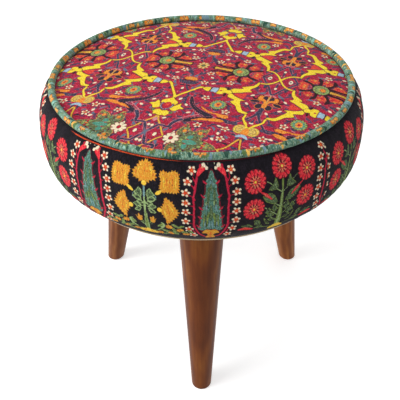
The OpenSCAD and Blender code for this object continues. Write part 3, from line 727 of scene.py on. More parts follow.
def redPlant(w):
    pale = ("moss", 0.7)
    w.strand("moss", [(0, 32), (0, 42), (0, 50), (0, 60), (0, 70), (0, 80), (0, 92)],
            [2, 2, 2.8, 3.4, 4.6, 6, 7])
    w.strand("jade", [(0, 36), (0, 50), (0, 70), (0, 90)], [0.5, 0.9, 1.6, 2.2])
    for stalk in ([(1, 46), (8, 40), (12.5, 34.5), (17, 31.5)],
                  [(2.5, 75), (9.5, 69), (14.5, 64.5), (17.5, 61.5)],
                  [(1, 64), (7, 59), (12, 54)], [(1, 84), (8, 78), (12, 75)]):
        w.strand("jade", stalk, 0.9)
    for leaf in ([(5.5, 36), (8, 29), (10, 35), (15, 40.5), (10, 42.5), (5, 41)],
                 [(8, 60), (9.5, 65), (6, 70), (3.5, 66)], [(15.5, 73), (11, 69.5), (6.5, 74), (10, 76)],
                 [(17, 76), (14.5, 80.5), (9, 87), (13.5, 84.5)],
                 [(27, 76.5), (21.5, 78), (20, 84), (25.5, 83.5)],
                 [(4, 82), (9, 78), (12.5, 78.5), (8.5, 82)], [(28, 85), (33, 81), (40, 82), (36, 86)],
                 [(13, 63), (17, 68), (14, 70), (11, 66)], [(18, 86), (24, 87), (22, 91), (17, 90)]):
        veined(w, leaf, 1.0, pale)
    for vein in ([(6.5, 40), (8.4, 36), (8, 31)], [(7, 41), (12, 40.6)], [(5, 69), (7.5, 65)],
                 [(9, 74), (13, 72.5)], [(22, 82), (25, 79)]):
        w.strand("jade", vein, 0.6)
    w.patch("leaf", [(20.5, 47), (16, 45.5), (11.5, 46), (8, 50), (4.5, 57.5), (10, 58), (16, 54.5)], pale,
            smooth=False)
    w.strand("scarlet", [(23, 41.5), (17, 46.5), (10.5, 53)], [1, 3.6, 1.2])
    w.strand("salmon", [(21, 43.4), (15, 48.6)], [0.3, 0.9, 0.3])
    w.strand("scarlet", [(28, 89.5), (36, 87.5), (43, 88)], [2, 5, 1.6])
    w.strand("flare", [(31, 89), (39, 87.5)], [1, 1.8, 1])
    for x, y in ((0, 19), (28.8, 29.5), (29, 61)):
        w.patch("scarlet", rosette(x, y, 11, 13, 15, 0.2), ("maroon", 0.4))
        for a in range(12, 372, 24):
            w.strand("maroon", [onOval(x, y, 5.6, 6.8, a), onOval(x, y, 10.8, 12.7, a)], [0.3, 1.1])
        for a in range(10, 370, 36):
            w.strand("salmon", [onOval(x, y, 2.2, 2.7, a), onOval(x, y, 5.8, 7, a)], [0.5, 1.3, 0.6])
            w.strand("maroon", [onOval(x, y, 2.6, 3.2, a + 18), onOval(x, y, 7, 8.4, a + 18)],
                    [0.4, 1.2, 0.4])
            w.strand("salmon", [onOval(x, y, 8, 9.6, a + 18), onOval(x, y, 9.6, 11.6, a + 18)], [0.4, 0.8])
        w.patch("gold", oval(x, y, 1.4, 1.7))
    w.patch("gold", toothed(bothSides([(0, 90), (5, 92), (9, 96), (6, 100)]), 3, 1))
    w.strand("moss", [(6, 93), (16, 90), (26, 89)], 1.1)


# How far round and down the strip of cloth each point of the band lies
def bandClothPlace(around, down):
    strip = (around - bandCloth["join"]) % (2 * math.pi * seatRadius)
    front = strip > bandCloth["frontPlant"]
    squeeze = bandCloth["squeeze"] * (down - bandCloth["squeezeFrom"])
    strip = strip + squeeze * seatRadius * np.sin(around / seatRadius)
    across = np.where(front, 3 + (strip - bandCloth["frontPlant"]) / bandCloth["frontPull"],
                      (strip - bandCloth["firstPlant"]) / bandCloth["backPull"]) * bandCloth["repeat"]
    return across, (down + np.interp(around, *bandCloth["tops"])) / bandCloth["pull"]


def weaveBand(around, down):
    across, down = bandClothPlace(around, down)
    repeat = bandCloth["repeat"]
    folded = np.abs((across + repeat / 2) % repeat - repeat / 2)
    w = Weaver(folded, down, bandCloth["yarns"])
    w.places = [(bandCloth["cypress"], 1), (bandCloth["cypress"], -1)]
    cypressTree(w)
    redBlossoms(w)
    w.places = [(repeat / 2, -1)]
    orangePlant(w)
    w.places = [(0, 1)]
    redPlant(w)
    for yarn, middle, half, places, shares in bandCloth["edging"]:
        near = np.nonzero((around > places[0]) & (around < places[-1]) & (down < 12))[0]
        w.lay(yarn, near, np.abs(down[near] - middle) - half * np.interp(around[near], places, shares))
    return w


def newObject(name, data):
    made = bpy.data.objects.new(name, data)
    bpy.context.collection.objects.link(made)
    return made


def newPiece(name, points, faces):
    mesh = bpy.data.meshes.new(name)
    mesh.from_pydata((points * mm).tolist(), [], faces)
    return newObject(name, mesh)


# How far out from the stool's axis points are, and how many degrees round from the front
def outFromAxis(points):
    return np.hypot(points[:, 0], points[:, 1])


def fromFront(points):
    return (np.degrees(np.arctan2(points[:, 1], points[:, 0])) + 90 + 180) % 360 - 180


# A surface of rings round the stool's axis, each (radius, height, number of points); a radius of 0 is a pole
def ringMesh(name, rings, closed=False):
    points, starts, at = [], [], 0
    for r, z, count in rings:
        a = np.arange(count) * 2 * math.pi / count - math.pi / 2
        points.append(np.stack([r * np.cos(a), r * np.sin(a), np.full(count, z)], -1))
        starts.append(at)
        at += count
    faces = []
    for i in range(len(rings) if closed else len(rings) - 1):
        j = (i + 1) % len(rings)
        n, m = rings[i][2], rings[j][2]
        a, b = starts[i], starts[j]
        if n == m:
            k = np.arange(n)
            after = (k + 1) % n
            faces += np.stack([a + k, a + after, b + after, b + k], -1).tolist()
            continue
        p = q = 0
        while p < n or q < m:
            if q >= m or (p < n and (p + 1) * m <= (q + 1) * n):
                if n > 1:
                    faces.append([a + p, a + (p + 1) % n, b + q % m])
                p += 1
            else:
                if m > 1:
                    faces.append([a + p % n, b + (q + 1) % m, b + q % m])
                q += 1
    points = np.vstack(points)
    piece = newPiece(name, points, faces)
    bm = bmesh.new()
    bm.from_mesh(piece.data)
    bmesh.ops.recalc_face_normals(bm, faces=bm.faces)
    bm.to_mesh(piece.data)
    bm.free()
    piece.data.shade_smooth()
    return piece, points


# Keeps the weave on a cloth's points, for its material to read
def keepWeave(piece, w, thread, pick):
    values = {"yarn_" + yarn: edge for yarn, edge in w.edge.items()}
    values.update(thread=thread, pick=pick)
    for name, value in values.items():
        piece.data.attributes.new(name, "FLOAT", "POINT").data.foreach_set("value", value.astype(np.float32))


def settle(piece, material, node):
    piece.data.materials.clear()
    piece.data.materials.append(material)
    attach(piece, "root")
    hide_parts(node)


# Woven cloth: each yarn's colour where its distance is below zero, broken by the weave's own threads
def clothMaterial(name, cloth, bumpDepth):
    material, tree, shader, place = newMaterial(name, Roughness=0.92, Sheen_Weight=0.04, Sheen_Roughness=0.5,
                                                Specular_IOR_Level=0.12)

    def reading(label):
        return Wire.node(tree, "ShaderNodeAttribute", {"attribute_name": label}, output=2)

    thread, pick = reading("thread"), reading("pick")
    perRib = 2 * math.pi / cloth["rib"]
    weave = (thread * perRib).sine() * (pick * perRib).sine()
    onCloth = Wire.node(tree, "ShaderNodeCombineXYZ", None, {"X": thread, "Y": pick, "Z": 0.0})
    fine = cloudy(tree, place, 0.9)
    streak = cloudy(tree, onCloth, 1.0, 2, 0.6, (1.0, cloth["streak"], 1.0))
    fleck = cloudy(tree, onCloth, 1.7, 2, 0.6, (1.0, 0.8, 1.0))
    wide = cloudy(tree, onCloth, cloth["patch"], 2, 0.6, cloth["patchStretch"])
    blot = cloudy(tree, onCloth, cloth["patch"] * 0.7, 2, 0.6, cloth["patchStretch"])
    jitter = (fine - 0.5) * 0.9 + (streak - 0.5) * cloth["fray"]
    colour = wide.rise(0.48, 0.56).over(dye(*cloth["ground"]), dye(*cloth["bright"]))
    colour = (blot * 0.5 + fleck * 0.5).rise(0.5, 0.58).over(colour, dye(*cloth["heather"]))
    colour = (streak.rise(0.5, 0.66) * cloth["flecks"]).over(colour, dye(*cloth["pale"]))
    relief = fine * 0.6
    for yarn, shades in cloth["yarns"].items():
        mask = 1 - (reading("yarn_" + yarn) + jitter).rise(-0.22, 0.22)
        tone = streak.rise(0.5, 0.6).over(dye(*shades[0]), dye(*shades[1]))
        if len(shades) > 2:
            tone = fleck.rise(0.52, 0.62).over(tone, dye(*shades[2]))
        colour = mask.over(colour, tone)
        relief = relief + mask * 0.25
    colour = (fine.rise(0.5, 0.75) * cloth["shadow"]).over(colour, dye(*cloth["dark"]))
    finishMaterial(tree, shader, colour, None, relief + weave * 0.35, bumpDepth, 0.6)
    return material


# A node's outermost radius, and its lowest and highest points, in millimetres
def reachOf(node):
    low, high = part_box(node)
    return high.x / mm, low.z / mm, high.z / mm


# The seat's outline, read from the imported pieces, and the cover's own measures in millimetres
seatRadius, tuckZ, seamZ = reachOf("side_band")
panelRadius, _, crownZ = reachOf("top_panel")
boardRadius, boardZ, boardTop = reachOf("seat_board")
seat = {
    "clothThick": 1.2, "rise": 3.0, "riseWidth": 12.0, "bulge": 51.5, "shoulder": 19.8, "tuck": 25.0,
    "fold": 4.0, "turnUnder": 16.5, "shoulderReach": 0.58, "shoulderFall": 0.63, "flankFall": 0.6,
    "flankReach": 0.74, "pitch": 1.0, "columns": 1104, "rows": 104, "innerColumns": 276, "innerStep": 8,
    "under": (1, 0.985, 0.95, 0.85, 0.6, 0.3, 0), "curvePoints": 80, "fill": 0.9, "weaveDepth": 0.25,
    "startOut": 1.8, "startDrop": 0.7, "foldPoints": 8, "topLiftWidth": 6, "bandLiftWidth": 5,
}
pipingOut, _, pipingTop = reachOf("piping_cover")
pipeRadius = pipingOut - (seatRadius - seat["shoulder"])
pipeMiddle, pipeHeight = pipingOut - pipeRadius, pipingTop - pipeRadius


def bezier(controls, count):
    c = np.array(controls, float)
    t = np.linspace(0, 1, count)[:, None]
    return (1 - t) ** 3 * c[0] + 3 * (1 - t) ** 2 * t * c[1] + 3 * (1 - t) * t * t * c[2] + t ** 3 * c[3]


def evenly(line, count):
    run = np.concatenate([[0], np.cumsum(np.hypot(*np.diff(line, axis=0).T))])
    at = np.linspace(0, run[-1], count)
    return np.stack([np.interp(at, run, line[:, 0]), np.interp(at, run, line[:, 1])], -1), at


def directions(line):
    way = np.gradient(line, axis=0)
    return way / np.hypot(way[:, 0], way[:, 1])[:, None]


def insetLine(line, inset):
    way = directions(line)
    return line + inset * np.stack([way[:, 1], -way[:, 0]], -1)


# The outside of the band from the piping seam down to the end of the turned-under edge
def bandLine():
    wideZ = boardZ + seat["bulge"]
    shoulderR = seatRadius - (1 - seat["shoulderReach"]) * seat["shoulder"]
    foldR, foldZ = seatRadius - seat["tuck"], tuckZ + seat["fold"]
    shoulder = [(panelRadius + seat["startOut"], seamZ), (shoulderR, seamZ - seat["startDrop"]),
                (seatRadius, wideZ + seat["shoulderFall"] * (seamZ - wideZ)), (seatRadius, wideZ)]
    diagonal = seat["fold"] * math.cos(math.radians(45))
    foot = (foldR + diagonal, foldZ - diagonal)
    reach = seat["flankReach"] * (seatRadius - foot[0])
    flank = [(seatRadius, wideZ), (seatRadius, wideZ - seat["flankFall"] * (wideZ - foot[1])),
             (foot[0] + reach, foot[1] + reach), foot]
    turn = np.radians(np.linspace(-45, -90, seat["foldPoints"]))[1:]
    fold = np.stack([foldR + seat["fold"] * np.cos(turn), foldZ + seat["fold"] * np.sin(turn)], -1)
    return np.vstack([bezier(shoulder, seat["curvePoints"]), bezier(flank, seat["curvePoints"])[1:], fold])


# The cover's cloths are simulated: a coarse copy of each, held along its seams and cut a little too wide,
# is filled from below, and the unevenness that this leaves is passed on to the fine cloth
billow = {
    "frames": 20, "pressure": 2.5, "extra": 0.02, "stiffness": 20, "bending": 0.5, "start": 0.4, "seed": 3,
    "bandColumns": 216, "bandRows": 24, "bandShare": 0.3, "bandMost": 0.9,
    "topColumns": 96, "topRings": 22, "topShare": 0.3, "topMost": 0.6, "topFrom": 4, "topFade": 20,
}


def simulate(name, points, faces, held):
    dice = np.random.default_rng(billow["seed"])
    started = points + dice.normal(0, billow["start"], points.shape) * ~held[:, None]
    cloth = newPiece(name, started, faces)
    cloth.vertex_groups.new(name="held").add(np.nonzero(held)[0].tolist(), 1.0, "REPLACE")
    settings = cloth.modifiers.new("cloth", "CLOTH").settings
    settings.quality = 5
    settings.vertex_group_mass = "held"
    settings.use_pressure = True
    settings.uniform_pressure_force = billow["pressure"]
    settings.effector_weights.gravity = 0
    settings.shrink_min = settings.shrink_max = -billow["extra"]
    settings.tension_stiffness = settings.compression_stiffness = billow["stiffness"]
    settings.bending_stiffness = billow["bending"]
    for step in range(1, billow["frames"] + 1):
        bpy.context.scene.frame_set(step)
    ready = cloth.evaluated_get(bpy.context.evaluated_depsgraph_get())
    found = np.empty(len(points) * 3, np.float32)
    ready.data.vertices.foreach_get("co", found)
    bpy.data.objects.remove(cloth)
    bpy.context.scene.frame_set(1)
    return found.reshape(-1, 3) / mm


# Rings of points with their faces outwards, from the top down or from the middle out
def coarseRings(rings, columns):
    a = np.arange(columns) * 2 * math.pi / columns
    points = np.vstack([np.stack([r * np.cos(a), r * np.sin(a), np.full(columns, z)], -1) for r, z in rings])
    faces = []
    for first in range(0, len(points) - columns, columns):
        for i in range(columns):
            after = (i + 1) % columns
            faces.append((first + i, first + columns + i, first + columns + after, first + after))
    return points, faces


# How far points at a share of the way along the rings, and at an angle, stand proud of their ring's mean
def unevenness(grid, share, along, angle, most):
    grid = grid - grid.mean(1, keepdims=True)
    grid = np.clip(grid * share, -most, most)
    rows, columns = grid.shape
    j = np.clip(along, 0, 1) * (rows - 1)
    i = (angle / (2 * math.pi) * columns) % columns
    j0, i0 = np.minimum(j.astype(int), rows - 2), i.astype(int) % columns
    dj, di, i1 = j - j0, i - np.floor(i), (i0 + 1) % columns
    return ((grid[j0, i0] * (1 - di) + grid[j0, i1] * di) * (1 - dj)
            + (grid[j0 + 1, i0] * (1 - di) + grid[j0 + 1, i1] * di) * dj)


def bandBillow(line, run, around, down):
    columns, rows = billow["bandColumns"], billow["bandRows"]
    coarse, places = evenly(line, rows)
    points, faces = coarseRings(coarse, columns)
    held = np.zeros(len(points), bool)
    held[:columns] = held[-columns:] = True
    found = simulate("bandTrial", points, faces, held)
    out = (outFromAxis(found) - outFromAxis(points)).reshape(rows, columns)
    return unevenness(out, billow["bandShare"], down / run[-1], around, billow["bandMost"])


def topBillow(x, y):
    columns, rings = billow["topColumns"], billow["topRings"]
    first = billow["topFrom"]
    radii = np.linspace(first, panelRadius, rings)
    points, faces = coarseRings([(r, panelHeight(r)) for r in radii], columns)
    held = outFromAxis(points) > panelRadius - 1
    faces.append(list(range(columns)))
    found = simulate("topTrial", points, faces, held)
    up = (found[:, 2] - points[:, 2]).reshape(rings, columns)
    along = (np.hypot(x, y) - first) / (panelRadius - first)
    fade = np.clip(np.hypot(x, y) / billow["topFade"], 0, 1)
    return fade * unevenness(up, billow["topShare"], along, np.arctan2(y, x), billow["topMost"])


# At the front, the piping and the two cloths sewn to it were pulled a little higher
def frontLift(points, fade):
    front = np.clip(-points[:, 1] / np.maximum(outFromAxis(points), 1), 0, 1) ** 2
    return piping["lift"] * front * fade


def move(piece, points):
    piece.data.vertices.foreach_set("co", (points * mm).astype(np.float32).ravel())
    piece.data.update()


def panelHeight(r):
    crown = crownZ - seamZ - seat["rise"]
    return (seamZ + seat["rise"] * (1 - np.exp((r - panelRadius) / seat["riseWidth"]))
            + crown * (1 - (r / panelRadius) ** 2))


def makeTopPanel():
    count = round(panelRadius / seat["pitch"])
    rings = [(0, panelHeight(0), 1)]
    for i in range(1, count + 1):
        r = panelRadius * i / count
        rings.append((r, panelHeight(r), 6 * i))
    for share in seat["under"]:
        r = panelRadius * share
        rings.append((r, panelHeight(r) - seat["clothThick"], max(1, int(6 * count * share ** 1.5))))
    piece, points = ringMesh("topPanelCloth", rings)
    x, y = points[:, 0], points[:, 1]
    keepWeave(piece, weaveTop(x, y), *topClothPlace(x, y))
    inward = panelRadius - outFromAxis(points)
    points[:, 2] += frontLift(points, np.exp(-inward / seat["topLiftWidth"])) + topBillow(x, y)
    move(piece, points)
    settle(piece, clothMaterial("topCloth", topCloth, seat["weaveDepth"]), "top_panel")


def makeSideBand():
    line, run = evenly(bandLine(), seat["rows"])
    tuckRadius = seatRadius - seat["tuck"] - seat["turnUnder"]
    columns, inner, step = seat["columns"], seat["innerColumns"], seat["innerStep"]
    outside = [(r, z, columns) for r, z in line] + [(tuckRadius, tuckZ, inner)]
    inside = [(r, z, inner) for r, z in insetLine(line, seat["clothThick"])[::step]]
    inside.append((tuckRadius, tuckZ + seat["clothThick"], inner))
    piece, points = ringMesh("sideBandCloth", outside + inside[::-1], closed=True)
    down = np.concatenate([np.repeat(run, columns), np.full(2 * inner, run[-1] + seat["turnUnder"]),
                           np.repeat(run[::step][::-1], inner)])
    around = np.radians(fromFront(points)) * seatRadius
    keepWeave(piece, weaveBand(around, down), around, down)
    way = directions(line)
    proud = bandBillow(line, run, np.arctan2(points[:, 1], points[:, 0]), down)
    outward = -np.interp(down, run, way[:, 1]) * proud
    points[:, :2] *= (1 + outward / outFromAxis(points))[:, None]
    points[:, 2] += np.interp(down, run, way[:, 0]) * proud
    points[:, 2] += frontLift(points, np.exp(-down / seat["bandLiftWidth"]))
    move(piece, points)
    settle(piece, clothMaterial("bandCloth", bandCloth, seat["weaveDepth"]), "side_band")


# The piping: teal cloth round a cord, with a row of orange flowers
piping = {
    "ground": (74, 116, 98), "bright": (116, 158, 136), "heather": (112, 130, 96), "pale": (186, 212, 194),
    "dark": (38, 60, 54), "flecks": 0.8, "streak": 0.25, "patch": 4.5, "patchStretch": (1, 0.4, 1),
    "fray": 1.2, "shadow": 0.6, "rib": 0.9, "weaveDepth": 0.2, "across": 36, "along": 900, "allowance": 9.0,
    "seamHalf": 0.8, "lift": 1.8, "slim": 0.92, "seed": 5, "streaks": 260, "streakLong": (3, 8),
    "streakWide": (1.4, 5.2), "streakAside": 5, "darkShare": 0.35, "darkShareBehind": 0.25,
    "flowers": 42, "flowerFirst": -0.4, "flowerWander": 0.03, "flowerWide": (6.4, 4.4), "bare": [1],
    "sides": ([-180, -105, -70, -55, -42, -27, 0, 26, 34, 48, 90, 180],
              [150, 145, 40, 10, 72, 98, 68, 95, 85, 38, 60, 150]),
    "yarns": {
        "orange": ((236, 144, 46), (242, 172, 84), (212, 104, 44)),
        "pollen": ((246, 196, 96), (236, 160, 70)),
        "brown": ((134, 70, 42), (110, 60, 40)), "aqua": ((132, 186, 170), (164, 208, 194)),
        "fern": ((88, 116, 68), (114, 138, 84)), "deep": ((42, 76, 64), (58, 92, 76)),
        "dusk": ((112, 142, 158), (136, 166, 176)),
    },
}


# Where the row of flowers runs on the piping's cloth, at an angle from the front
def flowerPlace(degrees):
    side = math.radians(np.interp(degrees, *piping["sides"]))
    return math.radians(degrees) * pipeMiddle, side * pipeRadius


def pipingStreaks(w, dice):
    for i in range(piping["streaks"]):
        at = dice.uniform(-180, 180)
        x, y = flowerPlace(at)
        y += dice.uniform(-piping["streakAside"], piping["streakAside"])
        long, lean = dice.uniform(*piping["streakLong"]), dice.uniform(-1, 1)
        dark = dice.random() < piping["darkShareBehind" if abs(at) > 70 else "darkShare"]
        shade = "deep" if dark else ("aqua", "dusk", "fern", "dusk", "pollen")[dice.integers(0, 5)]
        widths = [0.6, dice.uniform(*piping["streakWide"]), 0.6]
        w.strand(shade, [(x - lean, y - long), (x, y), (x + lean, y + long)], widths)


def pipingFlowers(w, dice):
    count = piping["flowers"]
    petals = ((-1, 0.45), (-0.9, -0.1), (-0.5, -0.35), (-0.25, 0), (0.05, -0.8), (0.35, -0.05), (0.7, -0.4),
              (1, 0.1), (0.8, 0.5), (0, 0.35))
    for i in range(-count // 2, count // 2):
        if i in piping["bare"]:
            continue
        wander = dice.uniform(-piping["flowerWander"], piping["flowerWander"])
        at = piping["flowerFirst"] + (i + wander) * 360 / count
        x, y = flowerPlace(at)
        wide = piping["flowerWide"][i % 2]
        tall = wide * np.interp(abs(at), [40, 110], [0.9, 1.5])
        w.patch("fern", toothed(oval(x + 3, y - 1, wide * 0.9, tall * 0.6), 2.6, 1.4))
        w.patch("orange", [(x + wide * p, y + tall * q) for p, q in petals], ("brown", 0.5), smooth=False)
        w.strand("pollen", [(x + wide * p, y + tall * q) for p, q in ((-0.7, 0.2), (0, 0.1), (0.7, 0.25))],
                 [0.6, tall * 0.3, 0.6])
        if i % 2 == 0:
            w.strand("brown", [(x, y + tall * 0.3), (x + 0.6, y - tall * 0.2)], [0.6, 1.4, 0.4])


def makePiping():
    half = piping["seamHalf"]
    slit = half / pipeRadius
    turn = np.linspace(slit - math.pi / 2, 1.5 * math.pi - slit, piping["across"])
    foot = seamZ - piping["allowance"]
    outline = [(pipeMiddle + pipeRadius * math.cos(t), pipeHeight + pipeRadius * math.sin(t)) for t in turn]
    outline += [(pipeMiddle - half, foot), (pipeMiddle + half, foot)]
    piece, points = ringMesh("pipingCloth", [(r, z, piping["along"]) for r, z in outline], closed=True)
    across = np.repeat(np.concatenate([turn, [turn[-1], turn[0]]]), piping["along"]) * pipeRadius
    around = np.radians(fromFront(points)) * pipeMiddle
    w = Weaver(around, across, piping["yarns"])
    dice = np.random.default_rng(piping["seed"])
    pipingStreaks(w, dice)
    pipingFlowers(w, dice)
    keepWeave(piece, w, around, across)
    tube = points[:, 2] > foot + 0.1
    lift = frontLift(points, tube * 1.0)
    slim = 1 - (1 - piping["slim"]) * lift / piping["lift"]
    r = outFromAxis(points)
    points[:, :2] *= ((pipeMiddle + (r - pipeMiddle) * slim) / r)[:, None]
    points[:, 2] = np.where(tube, pipeHeight + (points[:, 2] - pipeHeight) * slim + lift, points[:, 2])
    move(piece, points)
    settle(piece, clothMaterial("pipingCloth", piping, piping["weaveDepth"]), "piping_cover")


# What fills the cover: wadding over a foam pad, and a strip of foam round the board's edge
padding = {"wadding": 5.0, "gap": 0.1, "corner": 13, "seamDepth": 9, "seamPad": 3, "waddingEnd": 3,
           "edgeStrip": 2.5, "columns": 180, "rings": 25, "step": 4, "skinFrom": 6, "foamFrom": 52,
           "skinOut": 1.9, "foamOut": 0.9}


def makePadding():
    gap = padding["gap"]
    skin = seat["clothThick"] + gap
    foamIn = skin + padding["wadding"] + gap
    foot = seamZ - padding["seamDepth"] - gap
    corner = panelRadius - padding["corner"]
    widest = seat["curvePoints"] - 1
    line = bandLine()[:2 * widest + 1]
    radii = np.sin(np.radians(np.linspace(0, 90, padding["rings"])))

    def panel(last, drop):
        return [(r, panelHeight(r) - drop) for r in last * radii]

    def inset(first, depth):
        return [tuple(p) for p in insetLine(line, depth)[first::padding["step"]]]

    side = [(panelRadius + padding["foamOut"], foot - padding["seamPad"])]
    side += inset(padding["foamFrom"], foamIn)
    outside = panel(panelRadius - gap, skin)
    outside += [(panelRadius - gap, foot), (panelRadius + padding["skinOut"], foot)]
    outside += inset(padding["skinFrom"], skin)
    inside = panel(corner, skin + padding["wadding"]) + side[:1]
    inside += [(r, z) for r, z in inset(padding["foamFrom"], foamIn - gap)
               if z > line[widest][1] or r > boardRadius + padding["waddingEnd"]]
    pad = panel(corner, foamIn) + [(r - gap, z) for r, z in side if z > boardTop]
    pad += [(pad[-1][0], boardTop), (0, boardTop)]
    strip = [(r - gap, z) for r, z in side
             if z < boardTop - gap and r > boardRadius + gap + padding["edgeStrip"]]
    strip = [(boardRadius + gap, boardTop - gap), (strip[0][0], boardTop - gap)] + strip
    strip.append((boardRadius + gap, strip[-1][1]))
    foam = softMaterial("seatFoam", (236, 222, 172), 1.2)
    white = softMaterial("wadding", (238, 238, 232), 2.5)
    for name, outline, closed, material, slot, node, fill in (
            ("waddingLayer", outside + inside[::-1], False, white, "wadding", "wadding", 0.6),
            ("foamPad", pad, False, foam, "foam", "foam_pad", 1),
            ("edgeFoamStrip", strip, True, foam, "foam", "edge_foam", 1)):
        rings = [(r, z, padding["columns"] if r > 0.01 else 1) for r, z in outline]
        piece = ringMesh(name, rings, closed)[0]
        settle(piece, material, node)


# Each leg's turn about the seat's axis, in degrees, and the painted light on its stain: how strong red,
# green and blue are made on that leg, the rear legs painted lighter
legs = {
    "front": {"turn": -90, "stain": (0.93, 0.91, 0.9)},
    "right": {"turn": 30, "stain": (1.25, 1.4, 2.0)},
    "left": {"turn": 150, "stain": (1.08, 1.2, 2.0)},
}
legSplay = 10.8

# The black cloth stapled under the seat, cut round the legs' plates, in millimetres
dustCover = {
    "plateReach": 111.7, "bossHole": 21.4, "screwOut": 24.5, "screwHole": 2.2, "thick": 0.4, "staples": 24,
    "pucker": 0.35, "sag": 1.2, "sagReach": 45, "edge": 160.8, "step": 147.9, "pitch": 5, "clear": 1.5,
    "insideUpTo": 140, "beforeStep": (143,), "afterStep": (151, 154.5, 158), "roundPoints": 192,
    "bossPoints": 36, "screwPoints": 8,
}


def makeDustCover():
    rim, top = reachOf("dust_cover")[1:]
    edge, step, reach, out = (dustCover[key] for key in ("edge", "step", "plateReach", "screwOut"))
    holes = []
    for leg in legs.values():
        c, s = math.cos(math.radians(leg["turn"])), math.sin(math.radians(leg["turn"]))
        holes.append((reach * c, reach * s, dustCover["bossHole"], dustCover["bossPoints"]))
        for along, aside in ((-out, -out), (-out, out), (out, -out), (out, out)):
            holes.append(((reach + along) * c - aside * s, (reach + along) * s + aside * c,
                          dustCover["screwHole"], dustCover["screwPoints"]))
    places, borders = [], []
    for x, y, r, count in holes:
        first = len(places)
        places += [tuple(p) for p in oval(x, y, r, count=count)]
        borders += [(first + i, first + (i + 1) % count) for i in range(count)]
    pitch, inner = dustCover["pitch"], dustCover["insideUpTo"]
    rounds = [*range(0, inner, pitch), *dustCover["beforeStep"], step - 1.5, step, step + 0.3,
              *dustCover["afterStep"], edge]
    for r in rounds:
        count = max(1, int(r * 2 * math.pi / pitch)) if r < inner else dustCover["roundPoints"]
        for p in oval(0, 0, r, count=count):
            if all(math.hypot(p[0] - x, p[1] - y) > hole + dustCover["clear"] for x, y, hole, n in holes):
                places.append(tuple(p))
    placed, _, faces = delaunay_2d_cdt([Vector(p) for p in places], borders, [], 0, 1e-5)[:3]
    flat = np.array([tuple(p) for p in placed])
    faces = [list(f) for f in faces
             if all(math.hypot(*(flat[list(f)].mean(0) - (x, y))) > hole for x, y, hole, n in holes)]
    r, a = outFromAxis(flat), np.arctan2(flat[:, 1], flat[:, 0])
    wave = 0.5 - 0.5 * np.cos(dustCover["staples"] * a + math.pi)
    pucker = dustCover["pucker"] * wave * np.clip((r - step) / 6, 0, 1)
    z = np.where(r > step + 0.2, rim + 0.1 - pucker, top - 0.5)
    z -= dustCover["sag"] * np.exp(-(r / dustCover["sagReach"]) ** 2)
    piece = newPiece("dustCover", np.column_stack([flat, z]), faces)
    shell = piece.modifiers.new("shell", "SOLIDIFY")
    shell.thickness = dustCover["thick"] * mm
    shell.offset = 1
    ready = piece.evaluated_get(bpy.context.evaluated_depsgraph_get())
    piece.data = bpy.data.meshes.new_from_object(ready)
    piece.modifiers.clear()
    piece.data.shade_smooth()
    settle(piece, dustMaterial("dustCloth"), "dust_cover")
    cut = 2 * (edge + top - rim) * mm
    area = math.pi * cut * cut / 4 - sum(math.pi * (hole[2] * mm) ** 2 for hole in holes)


# Walnut-stained wood, its grain along a leg's axis, with each leg's painted light
wood = {"fibre": (76, 36, 14), "fibreShare": 0.35, "roughness": 0.34, "roughnessRange": 0.16, "coat": 0.04,
        "shades": ((0.3, (92, 42, 9)), (0.45, (108, 53, 14)), (0.58, (124, 66, 20)), (0.75, (142, 84, 28)))}


def woodMaterial(name, leg):
    material, tree, shader, place = newMaterial(name, Roughness=0.38, Coat_Weight=wood["coat"],
                                                Coat_Roughness=0.25, Specular_IOR_Level=0.12)
    for turn in ((0, 0, -math.radians(leg["turn"])), (0, math.radians(legSplay), 0)):
        place = Wire.node(tree, "ShaderNodeMapping", None, {"Vector": place, "Rotation": turn})

    # Each shade of the stain with this leg's painted light, lighter on the rear legs
    def stain(*shade):
        return dye(*(value * strength for value, strength in zip(shade, leg["stain"])))

    warp = cloudy(tree, place, 55, 2, 0.5, (1, 1, 0.4))
    shift = Wire.node(tree, "ShaderNodeVectorMath", {"operation": "SCALE"}, {"Vector": warp, "Scale": 16.0})
    bent = Wire.node(tree, "ShaderNodeVectorMath", {"operation": "ADD"},
                     {"Vector": place, "Vector_001": shift})
    waves = {"Vector": bent, "Scale": 0.032, "Distortion": 3.0, "Detail": 2, "Detail Scale": 0.3}
    rings = Wire.node(tree, "ShaderNodeTexWave", {"bands_direction": "X"}, waves, 1)
    fibres = cloudy(tree, place, 1.1, 3, 0.6, (1, 1, 0.02))
    streaks = cloudy(tree, place, 4, 2, 0.5, (1, 1, 0.03))
    blotch = cloudy(tree, place, 30, 3, 0.6, (1, 1, 0.5))
    grain = rings * 0.22 + streaks * 0.33 + blotch * 0.45
    stops = [(at, stain(*shade)) for at, shade in wood["shades"]]
    colour = Wire.node(tree, "ShaderNodeValToRGB", {"stops": stops}, {"Fac": grain})
    colour = (fibres.rise(0.52, 0.7) * wood["fibreShare"]).over(colour, stain(*wood["fibre"]))
    roughness = wood["roughness"] + fibres * wood["roughnessRange"]
    finishMaterial(tree, shader, colour, roughness, fibres, 0.05, 0.4)
    return material


# Plated steel: cloudy zinc with fine brushing
def steelMaterial(name, shade, roughness):
    material, tree, shader, place = newMaterial(name, Metallic=1.0)
    cloud = cloudy(tree, place, 6, 3)
    scratch = cloudy(tree, place, 0.7, 2, 0.6, (1, 0.08, 1))
    colour = cloud.rise(0.35, 0.7).over(dye(*shade), dye(*shade, 0.82))
    colour = (scratch.rise(0.55, 0.75) * 0.3).over(colour, dye(*shade, 0.65))
    finishMaterial(tree, shader, colour, roughness + cloud * 0.15, scratch, 0.03, 0.4)
    return material


